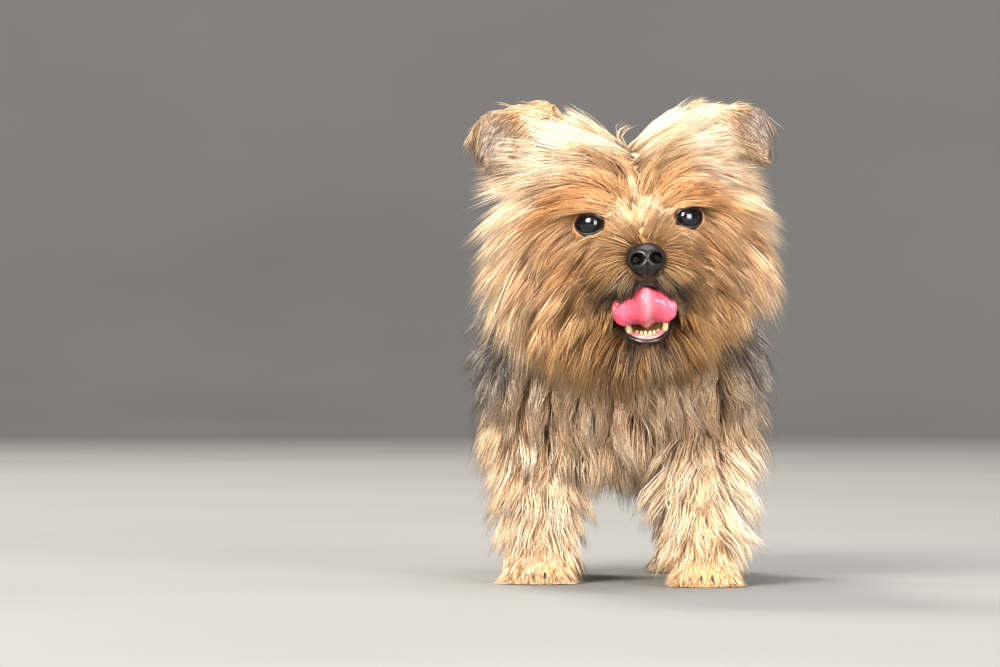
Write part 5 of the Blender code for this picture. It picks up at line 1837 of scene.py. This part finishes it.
@dataclass(frozen=True)
class Nose:
    """The nose leather: a rounded block with comma-shaped nostrils and a groove.

    The patches of its relief are ovals: the middle and the radii, across and up.
    """

    squareness: float = 0.6
    widening: float = 0.12
    nostril: tuple = ((5.0, 0.8), (2.9, 2.6))
    wing: tuple = ((5.4, -0.4), (3.4, 3.2))
    slit_radii: tuple = (2.6, 1.0)
    groove_radius: float = 0.75

    @staticmethod
    def _oval(x: np.ndarray, z: np.ndarray, middle: tuple, radii: tuple, power: float = 1.0) -> np.ndarray:
        """A soft oval patch of height 1."""
        return np.exp(-(((x - middle[0]) / radii[0]) ** 2 + ((z - middle[1]) / radii[1]) ** 2) ** power)

    def _relief(self, places: np.ndarray) -> tuple[np.ndarray, np.ndarray]:
        """How far the surface swells outwards and how far it sinks back, in mm.

        Args:
            places: Points on the plain nose, from its middle.

        Returns:
            The swell and the depth at each point.
        """
        x, y, z = np.abs(places[:, 0]), places[:, 1], places[:, 2]
        front = smooth_step(-y, 0.5, 5.0)
        hole = self._oval(x, z, *self.nostril, 1.6)
        slit = self._oval(x, z, (8.0, -1.0 - 0.25 * (x - 7.0)), self.slit_radii)
        groove = np.exp(-((x / self.groove_radius) ** 2)) * smooth_step(-z, -2.0, 3.0)
        wing = self._oval(x, z, *self.wing)
        return front * 1.3 * wing, front * (6.4 * hole + 2.4 * slit + 1.3 * groove)

    def build(self) -> None:
        """Makes the nose."""
        built, places = sphere(96, 64, 1.0)
        square = np.sign(places) * np.abs(places) ** self.squareness
        places = unit(square) * np.linalg.norm(places, axis=1)[:, None] * np.array(NOSE_SIZE)
        places[:, 0] *= 1 + self.widening * places[:, 2] / NOSE_SIZE[2]
        swell, depth = self._relief(places)
        places += unit(places) * swell[:, None]
        places[:, 1] += depth
        move_vertices(built, HEAD.to_dog(places + np.array(NOSE_PLACE)))
        made = from_bmesh("nose_leather_piece", built)
        # The depth of the hollows, which the leather uses for painted shade in the nostrils
        write_attribute(made.data, "hollow", np.clip(depth / 4.0, 0, 1))
        publish(made, self.leather(), ["nose"])

    def leather(self) -> bpy.types.Material:
        """Moist black leather with fine cells, its nostrils painted near black as painted shade.

        Returns:
            The material.
        """
        graph = Graph("nose_leather_finish")
        inputs = {"Vector": graph.place(), "Scale": 1500.0}
        cells = graph.add("ShaderNodeTexVoronoi", inputs, feature="DISTANCE_TO_EDGE").outputs["Distance"]
        graph.bump(graph.ramp(cells, ((0.0, (0, 0, 0)), (0.22, (1, 1, 1)))), 0.5, 0.0003)
        black = graph.ramp(graph.noise(500.0), ((0.3, (0.003, 0.0025, 0.003)), (0.7, (0.012, 0.009, 0.009))))
        hollow = graph.attribute("hollow")
        # Painted shade: the nostrils' hollows are coloured near black
        graph.colour(graph.mix(hollow, black, (0.0004, 0.0003, 0.0003, 1)))
        wet = graph.ramp(hollow, ((0.1, (0.6, 0.6, 0.6)), (0.4, (0.0, 0.0, 0.0))))
        graph.tree.links.new(wet, graph.shader.inputs["Coat Weight"])
        graph.set(Roughness=0.36, Specular_IOR_Level=0.22, Coat_Roughness=0.1)
        return graph.material


@dataclass(frozen=True)
class Mouth:
    """The tongue, the lower teeth in their gums, and the lips."""

    tongue_half: float = 18.0
    incisors: int = 6
    tooth_lean: tuple = (0.12, -0.25, 1.0)
    rim_rings: int = 60
    rim_closing: float = 10.0
    gum_shift: tuple = (0.9, 2.4, 2.2)

    def tongue(self) -> bpy.types.Object:
        """The tongue, curled up over the lower teeth.

        Returns:
            The piece.
        """
        table = resampled(np.array([[*middle, *sizes] for middle, *sizes in TONGUE_STATIONS]), 44)
        ahead = unit(np.gradient(table[:, :3], axis=0))
        angles = angles_round(56)
        share, height = np.cos(angles), np.sin(angles)
        dip = 1.3 * np.exp(-((share / 0.2) ** 2))
        shoulders = 0.5 * np.exp(-(((np.abs(share) - 0.55) / 0.3) ** 2))
        creased = smooth_step(np.abs(share), 0.2, 0.4)
        rings = []
        for row, way in zip(table, ahead):
            half, thick, groove, droop = row[3:]
            out = np.cross(way, (1.0, 0.0, 0.0))
            creases = 0.3 * np.sin(share * 21 + row[2]) * creased
            up = np.sign(height) * np.abs(height) ** 0.7 * thick / 2 - groove * (dip - shoulders) + creases
            ring = row[:3] + out * up[:, None]
            ring[:, 0] += share * half
            ring[:, 2] -= droop * share**2
            rings.append(ring)
        end = rings[-1].mean(axis=0)
        for scale, step in ((0.86, 1.2), (0.6, 2.2), (0.25, 2.8)):
            rings.append(end + (rings[len(table) - 1] - end) * scale + ahead[-1] * step)
        made = from_bmesh("tongue_piece", swept(HEAD.to_dog(np.array(rings))))
        own = HEAD.to_head(FRAME.dog(points_of(made.data)))
        write_attribute(made.data, "aside", np.abs(own[:, 0]) / self.tongue_half)
        return made

    def flesh_pink(self) -> bpy.types.Material:
        """The tongue's wet, velvety pink, paler along its middle line, with painted shade along the groove
        beside it.

        Returns:
            The material.
        """
        graph = Graph("tongue_finish")
        aside = graph.attribute("aside")
        # Painted shade: the darker bands just beside the paler middle line darken the groove's flanks; the
        # colour also darkens at the outer edges
        line = (
            (0.0, (0.70, 0.24, 0.28)),
            (0.13, (0.58, 0.12, 0.16)),
            (0.3, (0.64, 0.07, 0.12)),
            (0.75, (0.76, 0.12, 0.19)),
            (1.0, (0.56, 0.05, 0.09)),
        )
        blotch = graph.ramp(graph.noise(160.0), ((0.3, (0.86, 0.8, 0.82)), (0.7, (1.05, 1.05, 1.05))))
        graph.colour(graph.mix(1.0, graph.ramp(aside, line), blotch, "MULTIPLY"))
        inputs = {"Vector": graph.place(), "Scale": 1100.0}
        cells = graph.add("ShaderNodeTexVoronoi", inputs).outputs["Distance"]
        graph.bump(cells, 0.6, 0.0005)
        graph.set(Roughness=0.45, Specular_IOR_Level=0.3, Subsurface_Weight=0.1)
        graph.set(Coat_Weight=0.45, Coat_Roughness=0.1)
        graph.shader.inputs["Subsurface Radius"].default_value = (1.0, 0.3, 0.25)
        graph.shader.inputs["Subsurface Scale"].default_value = 0.002
        return graph.material

    def _tooth(self, place: np.ndarray, radius: float, height: float, top: float) -> np.ndarray:
        """Rings of one tooth.

        Args:
            place: Its root in the head's frame.
            radius: Its widest radius.
            height: Its height.
            top: The share of the radius at its top.

        Returns:
            The rings.
        """
        way = unit(np.array(self.tooth_lean) * (np.sign(place[0]), 1, 1))
        angles = angles_round(14)
        spokes = np.stack([np.cos(angles), 0.75 * np.sin(angles), 0 * angles], axis=1)
        profile = ((-0.25, 0.8), (0.0, 0.92), (0.35, 1.0))
        profile += ((0.75, 0.5 + top / 2), (0.95, top * 0.8), (1.02, top * 0.3))
        return np.array([place + way * height * up + radius * wide * spokes for up, wide in profile])

    def teeth(self) -> bpy.types.Object:
        """The lower incisors and canines in one piece.

        Returns:
            The piece.
        """
        sets = []
        for number in range(self.incisors):
            share = (number + 0.5) / self.incisors * 2 - 1
            place = np.array(TOOTH_FRONT) + np.array(TOOTH_ARCH) * (share, share**2, share**2)
            sets.append(self._tooth(place, 1.05, 2.7, 0.75))
        for side in SIDES:
            sets.append(self._tooth(np.array(CANINE_PLACE) * (side, 1, 1), 1.9, 8.0, 0.3))
        return joined("lower_teeth", [swept(HEAD.to_dog(rings)) for rings in sets])

    def _rim(self, name: str, half_line: list, radii: tuple) -> bpy.types.Object:
        """A soft rim along a line and its mirror image.

        Args:
            name: The piece's name.
            half_line: The dog's left half of the line, from the back to the middle, in the head's frame.
            radii: Its depth and height.

        Returns:
            The piece.
        """
        line = [(-x, y, z) for x, y, z in half_line] + list(reversed(half_line[:-1]))
        points = resampled(np.array(line, float), self.rim_rings)
        ahead = unit(np.gradient(points, axis=0))
        shares = np.array([np.linspace(*ends, self.rim_rings) for ends in ((0, 1), (1, 0))])
        sizes = np.sqrt(np.clip(shares * self.rim_closing, 0.05, 1)).prod(axis=0)
        angles = angles_round(20)
        rings = []
        for point, way, size in zip(points, ahead, sizes):
            up = unit(np.array((0.0, -0.2, 1.0)) - way * way[2])
            out = np.cross(way, up)
            spokes = radii[0] * np.cos(angles)[:, None] * out + radii[1] * np.sin(angles)[:, None] * up
            rings.append(point + size * spokes)
        return from_bmesh(name, swept(HEAD.to_dog(np.array(rings))))

    def build(self) -> None:
        """Makes the pieces of the mouth."""
        publish(self.tongue(), self.flesh_pink(), ["tongue"])
        ivory = WetFinish("ivory", (0.50, 0.34, 0.14), (0.78, 0.64, 0.38), 0.25, 700.0, 0.1)
        publish(self.teeth(), ivory.build())
        dark = WetFinish("lip_leather", (0.006, 0.005, 0.006), (0.028, 0.02, 0.022), 0.3, 1400.0, 0.4)
        leather = dark.build()
        publish(self._rim("upper_lip", UPPER_LIP, (1.3, 1.1)), leather)
        publish(self._rim("lower_lip", LOWER_LIP, (1.5, 1.3)), leather)
        inwards, back, up = self.gum_shift
        gum_line = [(x * inwards, y + back, z + up) for x, y, z in LOWER_LIP[1:]]
        gums = WetFinish("gums", (0.42, 0.13, 0.14), (0.62, 0.26, 0.26))
        publish(self._rim("gums", gum_line, (2.2, 1.8)), gums.build())


@dataclass(frozen=True)
class Claws:
    """The claws of all four paws, one piece a paw."""

    length: float = 7.0
    radius: float = 1.5
    droop: float = 3.6
    root_inside: float = 2.5
    root_below: float = 1.2

    def _claw(self, root: np.ndarray) -> np.ndarray:
        """Rings of one claw that curves down.

        Args:
            root: Where it leaves the toe.

        Returns:
            The rings.
        """
        angles = angles_round(12)
        rings = []
        for share in np.linspace(-0.4, 1.0, 9):
            size = self.radius * math.sqrt(max(0.02, 1 - max(share, 0.0) ** 1.6))
            middle = root + np.array((0, -self.length * share, -self.droop * max(share, 0.0) ** 2))
            ring = np.stack([0.75 * size * np.cos(angles), 0 * angles, size * np.sin(angles)], axis=1)
            rings.append(middle + ring)
        return np.array(rings)

    def build(self) -> None:
        """Makes the claws."""
        finish = WetFinish("claw_horn", (0.02, 0.014, 0.01), (0.09, 0.06, 0.04), 0.35, 600.0, 0.15, 0.2)
        horn = finish.build()
        for name, leg in LEGS.items():
            x, y, z = leg.paw
            parts = []
            for side, reach in TOES:
                root = (x + side, y - reach - TOE_RADIUS + self.root_inside, z - self.root_below)
                parts.append(swept(self._claw(np.array(root))))
            publish(joined(name.replace("leg", "paw") + "_claws", parts), horn)


@dataclass(frozen=True)
class EarHair:
    """The ears' short velvet and the longer fringe along their edges."""

    strands: int = 8400
    stations: int = 4
    width: float = 0.5
    in_tuft: int = 12
    outer_share: float = 0.66
    velvet: float = 5.5
    fold_hair: float = 12.0
    edge_hair: float = 12.0
    fringe: float = 14.0

    def _one(self, side: int, count: int, chance: np.random.Generator) -> tuple:
        """One ear's hair.

        Args:
            side: 1 for the left ear, -1 for the right.
            count: How many strands it has.
            chance: What its draws come from.

        Returns:
            The strands' roots, their middle lines, and the ways out of the skin at their roots.
        """
        along = chance.uniform(0.1, 1.0, count)
        share = np.sin(chance.uniform(-0.5, 0.5, count) * math.pi)
        face = np.where(chance.random(count) < self.outer_share, 1.0, -1.0)
        root = ear_surface(side, along, share, face)
        ahead = unit(ear_surface(side, np.minimum(along + 0.04, 1.04), share, face) - root)
        low, high = (np.clip(share + step, -1, 1) for step in (-0.05, 0.05))
        across = unit(ear_surface(side, along, high, face) - ear_surface(side, along, low, face))
        none, one = np.zeros(count), np.ones(count)
        through = ear_surface(side, along, none, one) - ear_surface(side, along, none, -one)
        out = unit(through) * face[:, None]
        hanging = smooth_step(along, 0.38, 0.68)
        front, back = smooth_step(share, 0.0, 0.8), smooth_step(-share, 0.2, 0.9)
        flow = (1 - hanging)[:, None] * (0.95 * across + 0.25 * ahead)
        flow += hanging[:, None] * (0.9 * ahead + 0.25 * across * (1 - back)[:, None])
        rim = smooth_step(share, 0.72, 0.95) * smooth_step(along, 0.2, 0.35)
        rim *= 1 - smooth_step(along, 0.8, 0.95)
        fold = np.exp(-(((along - 0.42) / 0.16) ** 2))
        lifted = (0.12 + 0.35 * fold)[:, None] * out
        launch = unit(flow + lifted + rim[:, None] * (0.35 * across + 1.2 * DOWN))
        drop = 0.4 + 1.8 * rim
        hang = unit(flow * (1 - 0.6 * rim)[:, None] + 0.02 * out + drop[:, None] * DOWN)
        stray = chance.normal(0, 1, (count, 3)) * (0.08 + 0.14 * fold)[:, None]
        long = self.velvet + (1 - hanging) * (1 - front) * self.fold_hair
        long = long + hanging * back * self.edge_hair
        long = (long + rim * self.fringe) * (1 - 0.55 * smooth_step(along, 0.8, 1.0))
        long *= chance.uniform(0.6, 1.15, count)
        return root, bent_lines(root, unit(launch + stray), unit(hang + stray), long, self.stations), out

    def build(self, hair: Hair) -> None:
        """Grows the hair of both ears.

        Args:
            hair: The coat, which makes the meshes.
        """
        chance = np.random.default_rng(SEED + 7)
        count = int(self.strands / 2 * (1.0))
        ears = [self._one(side, count, chance) for side in SIDES]
        roots, lines, outs = (np.concatenate(rows) for rows in zip(*ears))
        leads = np.arange(len(roots)) // self.in_tuft
        hair.make("ear_hair", self.width, roots, leads, lines, outs)


LAMPS = (
    Lamp("key", (-2.2, -4.6, 2.7), 2.2, 690.0, (1.0, 0.95, 0.87)),
    Lamp("fill", (2.6, -4.8, 1.1), 2.6, 430.0, (1.0, 0.96, 0.92)),
    Lamp("rim", (-1.6, 3.2, 3.6), 1.4, 260.0, (1.0, 0.94, 0.84)),
    Lamp("sky", (0.4, -0.4, 4.5), 3.0, 120.0, (0.97, 0.98, 1.0)),
)


@dataclass(frozen=True)
class Stage:
    """The floor, the lights and the camera."""

    camera_place: tuple = (-69.0, -3000.0, 125.0)
    camera_tilt_deg: float = 90.33
    lens: float = 187.0
    sensor: float = 36.0
    floor_reach: float = 6.0
    wall_bend: float = 2.5
    wall_top: float = 5.0
    floor_tones: Stops = ((0.3, (0.235, 0.232, 0.226)), (0.7, (0.255, 0.252, 0.246)))
    lamp_aim: tuple = (0.0, -0.05, 0.16)
    surround: tuple = (0.80, 0.82, 0.84, 1.0)
    surround_strength: float = 0.6

    def floor(self) -> None:
        """A plain pale floor that turns up smoothly into a low wall all round, far from the dog."""
        built = bmesh.new()
        reach, bend = self.floor_reach, self.wall_bend
        turns = np.linspace(0, math.pi / 2, 12)
        curve = [(reach + bend * math.sin(turn), bend * (1 - math.cos(turn))) for turn in turns]
        profile = [(0.0, 0.0), (reach / 2, 0.0), *curve, (reach + bend, self.wall_top)]
        verts = [built.verts.new((x, 0.0, z)) for x, z in profile]
        edges = [built.edges.new(pair) for pair in zip(verts, verts[1:])]
        whole_turn = {"axis": (0, 0, 1), "cent": (0, 0, 0), "angle": 2 * math.pi, "steps": 96}
        bmesh.ops.spin(built, geom=verts + edges, use_merge=True, **whole_turn)
        bmesh.ops.remove_doubles(built, verts=built.verts, dist=1e-5)
        bmesh.ops.recalc_face_normals(built, faces=built.faces)
        bmesh.ops.reverse_faces(built, faces=[face for face in built.faces if face.normal.z < 0])
        mesh = bpy.data.meshes.new("floor")
        built.to_mesh(mesh)
        built.free()
        smooth_faces(mesh)
        floor = new_object("floor", mesh)
        graph = Graph("floor_finish")
        graph.colour(graph.ramp(graph.noise(2.0), self.floor_tones))
        graph.set(Roughness=0.85, Specular_IOR_Level=0.15)
        mesh.materials.append(graph.material)

    def lights(self) -> None:
        """Lamps that face the dog: a warm key, a fill, a rim from behind and a sky, in a pale surround."""
        for lamp in LAMPS:
            light = bpy.data.lights.new(lamp.name, "AREA")
            light.shape = "SQUARE"
            light.size = lamp.size
            light.energy = lamp.power
            light.color = lamp.colour
            made = new_object(lamp.name, light)
            made.location = lamp.place
            way = Vector(self.lamp_aim) - Vector(lamp.place)
            made.rotation_euler = way.to_track_quat("-Z", "Y").to_euler()
        world = bpy.data.worlds.new("surround")
        world.use_nodes = True
        background = world.node_tree.nodes["Background"]
        background.inputs["Color"].default_value = self.surround
        background.inputs["Strength"].default_value = self.surround_strength
        bpy.context.scene.world = world

    def camera(self) -> None:
        """The photograph's camera."""
        data = bpy.data.cameras.new("camera")
        data.lens = self.lens
        data.sensor_width = self.sensor
        data.clip_end = 200.0
        camera = new_object("camera", data)
        camera.location = Vector(FRAME.metres(np.array(self.camera_place)))
        camera.rotation_euler = (math.radians(self.camera_tilt_deg), 0.0, 0.0)
        bpy.context.scene.camera = camera

    def build(self) -> None:
        """Sets up the whole stage."""
        bpy.context.scene.view_settings.view_transform = "Standard"
        self.floor()
        self.lights()
        self.camera()


def main() -> None:
    """Builds the dog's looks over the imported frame."""
    logging.basicConfig(level=logging.INFO, format="%(name)s: %(message)s")
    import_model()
    FRAME.measure()
    flesh, markings = Flesh(), Markings()
    skin = Skin(flesh, markings).build()
    for side in SIDES:
        Eye(side).build()
    Nose().build()
    Mouth().build()
    Claws().build()
    hair = Hair(flesh, markings, skin)
    for region in REGIONS:
        hair.grow(region)
    EarHair().build(hair)
    Stage().build()


if __name__ == "__main__":
    main()
